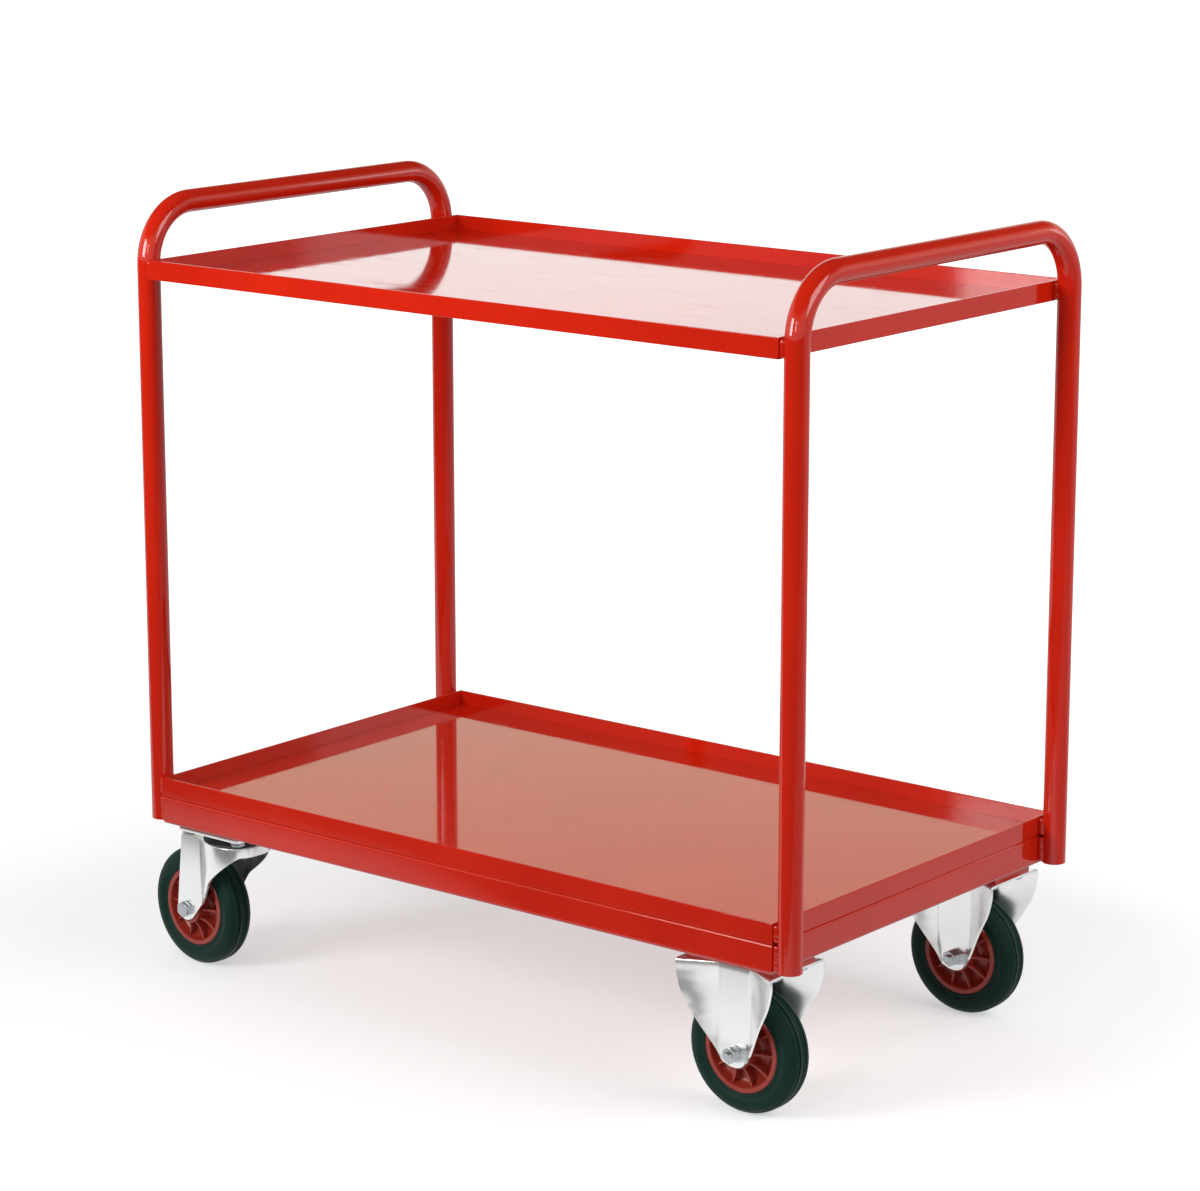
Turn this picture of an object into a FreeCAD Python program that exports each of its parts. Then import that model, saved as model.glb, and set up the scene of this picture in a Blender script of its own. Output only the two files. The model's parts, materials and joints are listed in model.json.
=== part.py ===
import FreeCAD, Part
import math
import os
import re

import Sketcher

# Tray trolley in millimetres: +Z up, +X towards the fixed castors, -Y the front side,
# origin on the floor under the middle of the footprint.

SIZES = {
    # Trays: a frame of mitred angles with a deck sheet laid inside
    "tray_length": 1000,
    "tray_width": 600,
    "tray_pitch": 687,
    "lip_height": 25,
    "lip_leg": 25,
    "lip_thickness": 3,
    "lip_round": 0.8,
    "deck_thickness": 2,
    "deck_clearance": 0.5,
    # Chassis of folded channel under the lower tray
    "chassis_height": 38,
    "chassis_flange": 40,
    "chassis_thickness": 3,
    "chassis_bend": 5,
    # Tube hoops at the two ends
    "tube_diameter": 30,
    "tube_wall": 2,
    "tube_bend": 75,
    "handle_rise": 67,
    "foot_rise": 3,
    "weld_gap": 0.2,
    "plug_length": 18,
    "plug_clearance": 0.1,
    # Castor plates and how they are bolted under the chassis
    "wheel_headroom": 17,
    "fixed_packing": 11,
    "fixed_packing_margin": 16,
    "fixed_plate_length": 140,
    "fixed_plate_width": 110,
    "fixed_end_inset": 10,
    "fixed_side_inset": 11,
    "fixed_bolt_edge_long": 17.5,
    "fixed_bolt_edge_cross": 28,
    "swivel_packing": 4,
    "swivel_packing_margin": 4,
    "swivel_plate_length": 112,
    "swivel_plate_width": 90,
    "swivel_end_inset": 14,
    "swivel_side_inset": 10,
    "swivel_bolt_edge_long": 12,
    "swivel_bolt_edge_cross": 12,
    "packing_end_margin": 4,
    "plate_thickness": 4,
    "plate_corner": 8,
    "bolt_diameter": 10,
    "bolt_clearance": 0.5,
    "thread_clearance": 0.1,
    "bolt_head_across": 17,
    "bolt_head_height": 6.4,
    "bolt_end_gap": 0.5,
    # Pressed cheeks that carry the axles
    "hub_length": 56,
    "cheek_thickness": 3,
    "channel_width": 46,
    "shoulder_drop": 15,
    "shoulder_fall": 24,
    "shoulder_in": 6,
    "shoulder_round": 24,
    "cheek_end_reach": 17.5,
    "cheek_end_width": 26,
    "cheek_end_round": 18,
    # Swivel head and fork
    "swivel_trail": 58.5,
    "front_swivel_turn": 4.1,
    "swivel_head": 16,
    "crown_thickness": 6,
    "crown_rear": 64,
    "crown_front": 53,
    "crown_front_width": 78,
    "crown_corner": 30,
    "crown_lip": 7,
    "crown_skirt": 7,
    "crown_crease": 27,
    "fork_end_reach": 15.5,
    "fork_end_half": 16.5,
    "fork_end_toe": 8.5,
    "fork_knee_out": 40,
    "fork_knee_rise": 22,
    "fork_elbow_out": 53,
    "fork_elbow_rise": 47,
    "fork_elbow_round": 20,
    "fork_end_round": 8,
    "race_wall": 2,
    "race_gap": 3,
    "ball_diameter": 8,
    "ball_circle": 54,
    "ball_count": 16,
    "ball_clearance": 0.05,
    "lower_gap": 2.5,
    "lower_ball_diameter": 6,
    "lower_ball_circle": 36,
    "lower_ball_count": 14,
    "cap_wall": 3,
    "cap_thickness": 5,
    "pin_diameter": 12,
    "pin_shoulder": 4,
    "pin_head_height": 5,
    "pin_clearance": 0.05,
    "crown_bore_gap": 2.5,
    "seal_wall": 3,
    "seal_clearance": 0.4,
    # Axles
    "axle_diameter": 12,
    "axle_clearance": 0.1,
    "axle_head_across": 19,
    "axle_head_height": 7.5,
    "axle_nut_height": 11,
    "axle_tip": 5,
    "sleeve_diameter": 20,
    # Wheels
    "wheel_diameter": 160,
    "tread_flat": 12,
    "tread_round": 14,
    "tread_groove_pitch": 7,
    "tread_groove_width": 1.6,
    "tread_groove_depth": 1.4,
    "tyre_foot_width": 34,
    "tyre_step": 1.2,
    "tyre_thickness": 27,
    "rim_wall": 7,
    "rim_width": 36,
    "web_thickness": 8,
    "boss_diameter": 42,
    "boss_clearance": 1,
    "rib_count": 10,
    "rib_thickness": 3.5,
    "rib_boss_width": 40,
    "rib_rim_width": 26,
    "bearing_diameter": 28,
    "bearing_length": 46,
    "bearing_clearance": 0.05,
}

CUT_REACH = 6       # how far a cutting outline runs past the metal
SAME_SPOT = 0.01    # coordinates closer than this are one place

doc = FreeCAD.newDocument("tray_trolley")
sheet = doc.addObject("Spreadsheet::Sheet", "sizes")
for row, (alias, size) in enumerate(SIZES.items(), start=1):
    sheet.set(f"A{row}", alias)
    sheet.set(f"B{row}", str(size))
    sheet.setAlias(f"B{row}", alias)
doc.recompute()

# Levels and stations that several pieces share, written in the sheet's own names

FRAME_X = ("((tray_length / 2 - swivel_end_inset - swivel_plate_length / 2 + swivel_trail"
           " + wheel_diameter / 2) - (tray_length / 2 + weld_gap + tube_diameter)) / 2")
SWIVEL_Z = "(wheel_diameter + wheel_headroom + crown_thickness + swivel_head)"
CHASSIS_Z = f"({SWIVEL_Z} + swivel_packing)"
FIXED_Z = f"({CHASSIS_Z} - fixed_packing)"
LOWER_Z = f"({CHASSIS_Z} + chassis_height)"
TOP_Z = f"({LOWER_Z} + tray_pitch)"
FOOT_Z = f"({CHASSIS_Z} + foot_rise)"
HANDLE_Z = f"({TOP_Z} + lip_height + handle_rise)"
HOOP_X = "(tray_length / 2 + weld_gap + tube_diameter / 2)"
HOOP_HALF = "((tray_width - tube_diameter) / 2)"
FIXED_X = f"({FRAME_X} + tray_length / 2 - fixed_end_inset - fixed_plate_length / 2)"
SWIVEL_X = f"({FRAME_X} - tray_length / 2 + swivel_end_inset + swivel_plate_length / 2)"
FIXED_Y = "(tray_width / 2 - fixed_side_inset - fixed_plate_width / 2)"
SWIVEL_Y = "(tray_width / 2 - swivel_side_inset - swivel_plate_width / 2)"
AXLE_Z = "(wheel_diameter / 2)"
SWIVEL_DROP = f"({SWIVEL_Z} - wheel_diameter / 2)"
FIXED_DROP = f"({FIXED_Z} - wheel_diameter / 2)"
CHEEK_OUT = "(hub_length / 2 + cheek_thickness)"

NODES = []


def bound(text):
    """Spell the sheet's names in full, as another object's expression needs them."""
    def full(word):
        return f"sizes.{word.group()}" if word.group() in SIZES else word.group()
    return re.sub(r"[a-z_]+", full, text)


def value(text):
    """What an expression in the sheet's names comes to."""
    return float(sheet.evalExpression(text))


def bind(thing, **properties):
    """Tie properties of an object to the sheet."""
    for name, text in properties.items():
        thing.setExpression(name, bound(text))
    return thing


def place(thing, x="0", y="0", z="0", turn="0"):
    """Stand a piece at a point of the trolley, turned about the vertical by so many degrees."""
    upright = FreeCAD.Rotation(FreeCAD.Vector(0, 0, 1), value(turn))
    thing.Placement = FreeCAD.Placement(FreeCAD.Vector(), upright)
    thing.setExpression("Placement.Rotation.Angle", bound(f"({turn}) * 1 deg"))
    for axis, text in zip("xyz", (x, y, z)):
        thing.setExpression(f"Placement.Base.{axis}", bound(text))
    return thing


def node(thing, label):
    """Name a finished piece and list it for writing."""
    thing.Label = label
    NODES.append(thing)
    return thing


# Sketch and feature helpers


def new_body(name):
    """Start an empty body."""
    return doc.addObject("PartDesign::Body", name + "_body")


def sketch(body, role, lift="0"):
    """A sketch on one of the body's own planes, raised along that plane's normal."""
    made = body.newObject("Sketcher::SketchObject", body.Name + "_sketch")
    plane = next(item for item in body.Origin.OriginFeatures if item.Role == role)
    made.AttachmentSupport = (plane, [""])
    made.MapMode = "FlatFace"
    made.setExpression("AttachmentOffset.Base.z", bound(lift))
    return made


def constrain(made, text, kind, *elements):
    """Add a dimension that follows the sheet."""
    number = made.addConstraint(Sketcher.Constraint(kind, *elements, value(text)))
    made.setExpression(f"Constraints[{number}]", bound(text))


def hold(made, element, point, x, y):
    """Hold a point of a sketch by its two coordinates."""
    constrain(made, x, "DistanceX", -1, 1, element, point)
    constrain(made, y, "DistanceY", -1, 1, element, point)


def polygon(made, corners):
    """A closed run of straight sides through corners given in the sheet's names."""
    first = made.GeometryCount
    spots = [FreeCAD.Vector(value(x), value(y), 0) for x, y in corners]
    for start, end in zip(spots, spots[1:] + spots[:1]):
        made.addGeometry(Part.LineSegment(start, end))
    for index, (x, y) in enumerate(corners):
        before = first + (index - 1) % len(corners)
        made.addConstraint(Sketcher.Constraint("Coincident", before, 2, first + index, 1))
        hold(made, first + index, 1, x, y)


def circle(made, x, y, radius):
    """A circle held by its centre and radius."""
    middle = FreeCAD.Vector(value(x), value(y), 0)
    element = made.addGeometry(Part.Circle(middle, FreeCAD.Vector(0, 0, 1), value(radius)))
    hold(made, element, 3, x, y)
    constrain(made, radius, "Radius", element)


def pad(body, profile, length, both_ways=False):
    """Raise a profile into a solid."""
    made = body.newObject("PartDesign::Pad", profile.Name + "_pad")
    made.Profile = profile
    if both_ways:
        made.SideType = "Symmetric"
    return bind(made, Length=length)


def cut_through(body, profile):
    """Cut a profile right through the body, both ways."""
    made = body.newObject("PartDesign::Pocket", profile.Name + "_cut")
    made.Profile = profile
    made.SideType = "Symmetric"
    made.Type = "ThroughAll"
    return made


def turn_about_y(body, profile, kind="PartDesign::Revolution"):
    """Spin a profile of radius and width about the body's Y axis."""
    made = body.newObject(kind, profile.Name + "_turned")
    made.Profile = profile
    made.ReferenceAxis = (profile, ["V_Axis"])
    made.Angle = 360
    return made


def fillet(body, radius, chosen):
    """Round the edges that a test picks from the body so far."""
    doc.recompute()
    base = body.Tip
    picked = [f"Edge{number}" for number, edge in enumerate(base.Shape.Edges, start=1) if chosen(edge)]
    made = body.newObject("PartDesign::Fillet", body.Name + "_round")
    made.Base = (base, picked)
    return bind(made, Radius=radius)


def round_edges(body, radius, spots, axis):
    """Round the edges that run along an axis through the given places in the plane across it."""
    across = [name for name in "xyz" if name != axis]
    wanted = [[value(text) for text in spot] for spot in spots]

    def chosen(edge):
        ends = [[getattr(corner.Point, name) for name in across] for corner in edge.Vertexes]
        return any(all(math.dist(end, spot) < SAME_SPOT for end in ends) for spot in wanted)
    return fillet(body, radius, chosen)


# Trays and chassis


def mitred_bar(label, length, reach, section, rounds):
    """A bar along X with its outer face on y = 0, its ends mitred inwards over its reach."""
    body = new_body(label)
    profile = sketch(body, "YZ_Plane", f"-({length}) / 2")
    polygon(profile, section)
    pad(body, profile, length)
    for radius, spots in rounds:
        round_edges(body, radius, spots, "x")
    mitre = sketch(body, "XY_Plane")
    for side in ("-1", "1"):
        polygon(mitre, [
            (f"{side} * (({length}) / 2 + {CUT_REACH})", f"-{CUT_REACH}"),
            (f"{side} * (({length}) / 2 + {CUT_REACH})", f"{reach} + {CUT_REACH}"),
            (f"{side} * (({length}) / 2 - {reach} - {CUT_REACH})", f"{reach} + {CUT_REACH}"),
        ])
    cut_through(body, mitre)
    return node(body, label)


def mitred_frame(name, level, reach, section, rounds):
    """Four mitred bars round the tray's outline at one level."""
    half_long = "tray_length / 2"
    half_wide = "tray_width / 2"
    sides = {
        "front": ("tray_length", FRAME_X, f"-{half_wide}", "0"),
        "rear": ("tray_length", FRAME_X, half_wide, "180"),
        "left": ("tray_width", f"{FRAME_X} - {half_long}", "0", "270"),
        "right": ("tray_width", f"{FRAME_X} + {half_long}", "0", "90"),
    }
    for side, (length, x, y, turn) in sides.items():
        bar = mitred_bar(f"{name}_{side}", length, reach, section, rounds)
        place(bar, x, y, level, turn)


def lip_frame(name, level):
    """The angle frame of one tray: a flat leg inwards and an upstanding lip."""
    section = [
        ("0", "0"),
        ("lip_leg", "0"),
        ("lip_leg", "lip_thickness"),
        ("lip_thickness", "lip_thickness"),
        ("lip_thickness", "lip_height"),
        ("0", "lip_height"),
    ]
    soft_edges = [("0", "0"), ("0", "lip_height"), ("lip_thickness", "lip_height")]
    mitred_frame(name, level, "lip_leg", section, [("lip_round", soft_edges)])


def chassis_frame(name, level):
    """The folded channel frame, its open side inwards."""
    inner_top = "chassis_height - chassis_thickness"
    section = [
        ("0", "0"),
        ("chassis_flange", "0"),
        ("chassis_flange", "chassis_thickness"),
        ("chassis_thickness", "chassis_thickness"),
        ("chassis_thickness", inner_top),
        ("chassis_flange", inner_top),
        ("chassis_flange", "chassis_height"),
        ("0", "chassis_height"),
    ]
    outer_folds = [("0", "0"), ("0", "chassis_height")]
    inner_folds = [("chassis_thickness", "chassis_thickness"), ("chassis_thickness", inner_top)]
    folds = [("chassis_bend", outer_folds), ("chassis_bend - chassis_thickness", inner_folds)]
    mitred_frame(name, level, "chassis_flange", section, folds)


def deck(label, level):
    """A flat sheet laid inside the lips, on the angles' flat legs."""
    sheet_gap = "2 * (lip_thickness + deck_clearance)"
    made = doc.addObject("Part::Box", label)
    bind(made, Length=f"tray_length - {sheet_gap}", Width=f"tray_width - {sheet_gap}")
    bind(made, Height="deck_thickness")
    corner_x = f"{FRAME_X} - tray_length / 2 + lip_thickness + deck_clearance"
    corner_y = "-tray_width / 2 + lip_thickness + deck_clearance"
    place(made, corner_x, corner_y, f"{level} + lip_thickness")
    return node(made, label)


# Tube hoops


def hoop_path(made):
    """The tube's centre line: up, over in two bends, and down again."""
    half, foot, top, bend = (value(text) for text in (HOOP_HALF, FOOT_Z, HANDLE_Z, "tube_bend"))
    normal = FreeCAD.Vector(0, 0, 1)
    near_bend = Part.Circle(FreeCAD.Vector(bend - half, top - bend, 0), normal, bend)
    far_bend = Part.Circle(FreeCAD.Vector(half - bend, top - bend, 0), normal, bend)
    rise = Part.LineSegment(FreeCAD.Vector(-half, foot, 0), FreeCAD.Vector(-half, top - bend, 0))
    handle = Part.LineSegment(FreeCAD.Vector(bend - half, top, 0), FreeCAD.Vector(half - bend, top, 0))
    fall = Part.LineSegment(FreeCAD.Vector(half, top - bend, 0), FreeCAD.Vector(half, foot, 0))
    up = made.addGeometry(rise)
    near = made.addGeometry(Part.ArcOfCircle(near_bend, math.pi / 2, math.pi))
    across = made.addGeometry(handle)
    far = made.addGeometry(Part.ArcOfCircle(far_bend, 0, math.pi / 2))
    down = made.addGeometry(fall)
    for joint in ((up, 2, near, 2), (near, 1, across, 1), (across, 2, far, 2), (far, 1, down, 1)):
        made.addConstraint(Sketcher.Constraint("Tangent", *joint))
    made.addConstraint(Sketcher.Constraint("Vertical", up))
    made.addConstraint(Sketcher.Constraint("Horizontal", across))
    made.addConstraint(Sketcher.Constraint("Equal", near, far))
    constrain(made, "tube_bend", "Radius", near)
    constrain(made, HANDLE_Z, "DistanceY", -1, 1, across, 1)
    hold(made, up, 1, f"-{HOOP_HALF}", FOOT_Z)
    hold(made, down, 2, HOOP_HALF, FOOT_Z)


def hoop(label, x):
    """One bent tube: two uprights and the push handle between them."""
    body = new_body(label)
    path = sketch(body, "YZ_Plane")
    hoop_path(path)
    ring = sketch(body, "XY_Plane", FOOT_Z)
    circle(ring, "0", f"-{HOOP_HALF}", "tube_diameter / 2")
    circle(ring, "0", f"-{HOOP_HALF}", "tube_diameter / 2 - tube_wall")
    tube = body.newObject("PartDesign::AdditivePipe", label + "_tube")
    tube.Profile = ring
    tube.Spine = (path, [f"Edge{number}" for number in range(1, path.GeometryCount + 1)])
    place(body, x)
    return node(body, label)


def tube_plugs(label):
    """Plugs pushed up flush into the four feet of the tubes."""
    plugs = []
    for x in (f"{FRAME_X} - {HOOP_X}", f"{FRAME_X} + {HOOP_X}"):
        for y in (f"-{HOOP_HALF}", HOOP_HALF):
            plug = doc.addObject("Part::Cylinder", "tube_plug")
            bind(plug, Radius="tube_diameter / 2 - tube_wall - plug_clearance", Height="plug_length")
            plugs.append(place(plug, x, y, FOOT_Z))
    return node(group(label, plugs), label)


def group(label, members):
    """Like pieces that share one node."""
    made = doc.addObject("Part::Compound", label)
    made.Links = members
    return made


# Castor mountings


def bolt_spots(castor):
    """The four bolt places of a fixed or swivel castor's plate, from its middle."""
    for long_side in ("-1", "1"):
        for cross_side in ("-1", "1"):
            along = f"{long_side} * ({castor}_plate_length / 2 - {castor}_bolt_edge_long)"
            yield along, f"{cross_side} * ({castor}_plate_width / 2 - {castor}_bolt_edge_cross)"


def rectangle(made, half_x, half_y):
    """A rectangle about the sketch's middle."""
    polygon(made, [
        (f"-({half_x})", f"-({half_y})"),
        (half_x, f"-({half_y})"),
        (half_x, half_y),
        (f"-({half_x})", half_y),
    ])


def packing_plates(label, stations):
    """Plates welded under the chassis corners and tapped for the castor bolts."""
    plates = []
    for x, y, castor in stations:
        body = new_body("packing_plate")
        outline = sketch(body, "XY_Plane")
        half_long = f"{castor}_plate_length / 2 - packing_end_margin"
        rectangle(outline, half_long, f"{castor}_plate_width / 2 - {castor}_packing_margin")
        for bolt_x, bolt_y in bolt_spots(castor):
            circle(outline, bolt_x, bolt_y, "bolt_diameter / 2 + thread_clearance")
        pad(body, outline, f"{castor}_packing")
        plates.append(place(body, x, y, f"{CHASSIS_Z} - {castor}_packing"))
    return node(group(label, plates), label)


def castor_bolts(label, stations):
    """Hexagon screws from below through each castor plate into its packing plate."""
    bolts = []
    for x, y, castor in stations:
        under = f"{CHASSIS_Z} - {castor}_packing - plate_thickness - bolt_head_height"
        for bolt_x, bolt_y in bolt_spots(castor):
            head = doc.addObject("Part::Prism", "bolt_head")
            head.Polygon = 6
            bind(head, Circumradius="bolt_head_across / sqrt(3)", Height="bolt_head_height")
            shank = doc.addObject("Part::Cylinder", "bolt_shank")
            bind(shank, Radius="bolt_diameter / 2")
            reach = f"plate_thickness + {castor}_packing - bolt_end_gap"
            bind(shank, Height=f"bolt_head_height + {reach}")
            bolt = doc.addObject("Part::Fuse", "castor_bolt")
            bolt.Base = head
            bolt.Tool = shank
            bolts.append(place(bolt, f"{x} + {bolt_x}", f"{y} + {bolt_y}", under))
    return node(group(label, bolts), label)


# Fixed castors


def fixed_bracket(label, x, y):
    """One pressing: a waisted top plate and two cheeks, each a flat channel between flared wings."""
    half_plate = "fixed_plate_length / 2"
    half_width = "fixed_plate_width / 2"
    half_channel = "channel_width / 2"
    end_z = f"-({FIXED_DROP} + cheek_end_reach)"
    end_half = "cheek_end_width / 2"
    brow = f"{half_plate} - shoulder_in"
    brow_z = "-shoulder_drop - shoulder_fall"
    body = new_body(label)

    cheeks = sketch(body, "XY_Plane", end_z)
    for side in ("-1", "1"):
        wing = f"{side} * {half_width}"
        wing_back = f"{side} * ({half_width} - cheek_thickness)"
        channel = f"{side} * {CHEEK_OUT}"
        channel_back = f"{side} * ({CHEEK_OUT} - cheek_thickness)"
        polygon(cheeks, [
            (f"-{half_plate}", wing),
            (f"-{half_channel}", channel),
            (half_channel, channel),
            (half_plate, wing),
            (half_plate, wing_back),
            (half_channel, channel_back),
            (f"-{half_channel}", channel_back),
            (f"-{half_plate}", wing_back),
        ])
    pad(body, cheeks, f"-({end_z})")

    top = sketch(body, "XY_Plane", "-plate_thickness")
    polygon(top, [
        (f"-{half_plate}", f"-{half_width}"),
        (f"-{half_channel}", f"-{CHEEK_OUT}"),
        (half_channel, f"-{CHEEK_OUT}"),
        (half_plate, f"-{half_width}"),
        (half_plate, half_width),
        (half_channel, CHEEK_OUT),
        (f"-{half_channel}", CHEEK_OUT),
        (f"-{half_plate}", half_width),
    ])
    for bolt_x, bolt_y in bolt_spots("fixed"):
        circle(top, bolt_x, bolt_y, "bolt_diameter / 2 + bolt_clearance")
    pad(body, top, "plate_thickness")

    taper = sketch(body, "XZ_Plane")
    for side in ("-1", "1"):
        outside = f"{side} * ({half_plate} + {CUT_REACH})"
        polygon(taper, [
            (outside, "-shoulder_drop"),
            (f"{side} * {half_plate}", "-shoulder_drop"),
            (f"{side} * ({brow})", brow_z),
            (f"{side} * {end_half}", end_z),
            (f"{side} * {end_half}", f"{end_z} - {CUT_REACH}"),
            (outside, f"{end_z} - {CUT_REACH}"),
        ])
    cut_through(body, taper)

    axle = sketch(body, "XZ_Plane")
    circle(axle, "0", f"-{FIXED_DROP}", "axle_diameter / 2 + axle_clearance")
    cut_through(body, axle)
    ends = [(f"-{end_half}", end_z), (end_half, end_z)]
    round_edges(body, "cheek_end_round", ends, "y")
    shoulders = [(f"-{half_plate}", "-shoulder_drop"), (half_plate, "-shoulder_drop")]
    brows = [(f"-({brow})", brow_z), (brow, brow_z)]
    round_edges(body, "shoulder_round", shoulders + brows, "y")
    place(body, x, y, FIXED_Z)
    return node(body, label)


# Swivel castors

RACE_RADIUS = "(ball_circle / 2 + ball_diameter / 2 + race_wall)"
RACE_DROP = "(swivel_head - race_gap)"
BALL_DROP = "(swivel_head - race_gap / 2)"
CROWN_UNDER = "(swivel_head + crown_thickness)"
LOWER_BALL_DROP = f"({CROWN_UNDER} + lower_gap / 2)"
CAP_TOP = f"({CROWN_UNDER} + lower_gap)"
CAP_UNDER = f"({CAP_TOP} + cap_thickness)"


def ball_groove(body, circle_diameter, drop, ball):
    """Turn a ring groove for a ball race about the body's vertical axis."""
    profile = sketch(body, "XZ_Plane")
    circle(profile, f"{circle_diameter} / 2", f"-{drop}", f"{ball} / 2 + ball_clearance")
    return turn_about_y(body, profile, "PartDesign::Groove")


def swivel_plate(label, x, y):
    """The bolted top plate with the upper race boss pressed down from it."""
    body = new_body(label)
    top = sketch(body, "XY_Plane", "-plate_thickness")
    rectangle(top, "swivel_plate_length / 2", "swivel_plate_width / 2")
    for bolt_x, bolt_y in bolt_spots("swivel"):
        circle(top, bolt_x, bolt_y, "bolt_diameter / 2 + bolt_clearance")
    pad(body, top, "plate_thickness")
    corners = [(f"{long_side} * swivel_plate_length / 2", f"{cross_side} * swivel_plate_width / 2")
               for long_side in ("-1", "1") for cross_side in ("-1", "1")]
    round_edges(body, "plate_corner", corners, "z")
    boss = sketch(body, "XY_Plane", f"-{RACE_DROP}")
    circle(boss, "0", "0", RACE_RADIUS)
    pad(body, boss, RACE_DROP)
    bore = sketch(body, "XY_Plane")
    circle(bore, "0", "0", "pin_diameter / 2 + pin_clearance")
    cut_through(body, bore)
    ball_groove(body, "ball_circle", BALL_DROP, "ball_diameter")
    place(body, x, y, SWIVEL_Z)
    return node(body, label)


def fork(label, x, y, turn):
    """The turning fork: a round-nosed crown under the race and two cheeks swept back to the axle."""
    rear = "crown_rear"
    heel = "swivel_trail + fork_end_half"
    front_half = "crown_front_width / 2"
    cheek_in = f"({CHEEK_OUT} - cheek_thickness)"
    nose_in = "(crown_front - cheek_thickness)"
    front_in = f"({front_half} - cheek_thickness)"
    end_z = f"-({SWIVEL_DROP} + fork_end_reach)"
    skirt_z = f"-({CROWN_UNDER} + crown_skirt)"
    toe_rear = "-swivel_trail - fork_end_toe"
    toe_front = "-swivel_trail + fork_end_toe"
    knee = ("-swivel_trail + fork_knee_out", f"-{SWIVEL_DROP} + fork_knee_rise")
    elbow = ("-swivel_trail + fork_elbow_out", f"-{SWIVEL_DROP} + fork_elbow_rise")
    body = new_body(label)

    skirt = sketch(body, "XY_Plane", end_z)
    polygon(skirt, [
        (f"-({heel})", f"-{CHEEK_OUT}"),
        ("-crown_crease", f"-{CHEEK_OUT}"),
        ("crown_front", f"-{front_half}"),
        ("crown_front", front_half),
        ("-crown_crease", CHEEK_OUT),
        (f"-({heel})", CHEEK_OUT),
        (f"-({heel})", cheek_in),
        ("-crown_crease", cheek_in),
        (nose_in, front_in),
        (nose_in, f"-{front_in}"),
        ("-crown_crease", f"-{cheek_in}"),
        (f"-({heel})", f"-{cheek_in}"),
    ])
    pad(body, skirt, f"-({end_z}) - swivel_head")

    crown = sketch(body, "XY_Plane", f"-{CROWN_UNDER}")
    polygon(crown, [
        (f"-{rear}", f"-{CHEEK_OUT}"),
        ("-crown_crease", f"-{CHEEK_OUT}"),
        ("crown_front", f"-{front_half}"),
        ("crown_front", front_half),
        ("-crown_crease", CHEEK_OUT),
        (f"-{rear}", CHEEK_OUT),
    ])
    circle(crown, "0", "0", "pin_diameter / 2 + crown_bore_gap")
    pad(body, crown, "crown_thickness")
    nose = [("crown_front", f"-{front_half}"), ("crown_front", front_half)]
    round_edges(body, "crown_corner", nose, "z")
    nose_inside = [(nose_in, f"-{front_in}"), (nose_in, front_in)]
    round_edges(body, "crown_corner - cheek_thickness", nose_inside, "z")

    sweep = sketch(body, "XZ_Plane")
    behind = f"-({heel}) - {CUT_REACH}"
    ahead = f"crown_front + {CUT_REACH}"
    polygon(sweep, [
        (behind, f"-swivel_head + {CUT_REACH}"),
        (f"-{rear}", f"-swivel_head + {CUT_REACH}"),
        (f"-{rear}", "-swivel_head"),
        (f"-({heel})", f"-{SWIVEL_DROP}"),
        (toe_rear, end_z),
        (toe_rear, f"{end_z} - {CUT_REACH}"),
        (behind, f"{end_z} - {CUT_REACH}"),
    ])
    polygon(sweep, [
        (toe_front, end_z),
        knee,
        elbow,
        ("crown_front - crown_lip", skirt_z),
        (ahead, skirt_z),
        (ahead, f"{end_z} - {CUT_REACH}"),
        (toe_front, f"{end_z} - {CUT_REACH}"),
    ])
    cut_through(body, sweep)

    axle = sketch(body, "XZ_Plane")
    circle(axle, "-swivel_trail", f"-{SWIVEL_DROP}", "axle_diameter / 2 + axle_clearance")
    cut_through(body, axle)
    toes = [(toe_rear, end_z), (toe_front, end_z), (f"-({heel})", f"-{SWIVEL_DROP}")]
    round_edges(body, "fork_end_round", toes, "y")
    round_edges(body, "fork_elbow_round", [knee, elbow], "y")
    ball_groove(body, "ball_circle", BALL_DROP, "ball_diameter")
    ball_groove(body, "lower_ball_circle", LOWER_BALL_DROP, "lower_ball_diameter")
    place(body, x, y, SWIVEL_Z, f"-({turn})")
    return node(body, label)


def bearing_cap(label, x, y):
    """The lower race, held up under the crown by the king pin's head."""
    body = new_body(label)
    disc = sketch(body, "XY_Plane", f"-{CAP_UNDER}")
    circle(disc, "0", "0", "lower_ball_circle / 2 + lower_ball_diameter / 2 + cap_wall")
    circle(disc, "0", "0", "pin_diameter / 2 + pin_clearance")
    pad(body, disc, "cap_thickness")
    ball_groove(body, "lower_ball_circle", LOWER_BALL_DROP, "lower_ball_diameter")
    place(body, x, y, SWIVEL_Z)
    return node(body, label)


def king_pin(label, x, y):
    """The pivot that clamps top plate and bearing cap together through the crown."""
    body = new_body(label)
    head = sketch(body, "XY_Plane", f"-({CAP_UNDER} + pin_head_height)")
    circle(head, "0", "0", "pin_diameter / 2 + pin_shoulder")
    pad(body, head, "pin_head_height")
    shank = sketch(body, "XY_Plane", f"-{CAP_UNDER}")
    circle(shank, "0", "0", "pin_diameter / 2")
    pad(body, shank, CAP_UNDER)
    place(body, x, y, SWIVEL_Z)
    return node(body, label)


def dust_seal(label, x, y):
    """A rubber ring round the race boss, just clear of the turning crown."""
    body = new_body(label)
    ring = sketch(body, "XY_Plane", "-swivel_head + seal_clearance")
    circle(ring, "0", "0", f"{RACE_RADIUS} + seal_clearance")
    circle(ring, "0", "0", f"{RACE_RADIUS} + seal_clearance + seal_wall")
    pad(body, ring, "swivel_head - plate_thickness - 2 * seal_clearance")
    place(body, x, y, SWIVEL_Z)
    return node(body, label)


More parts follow.
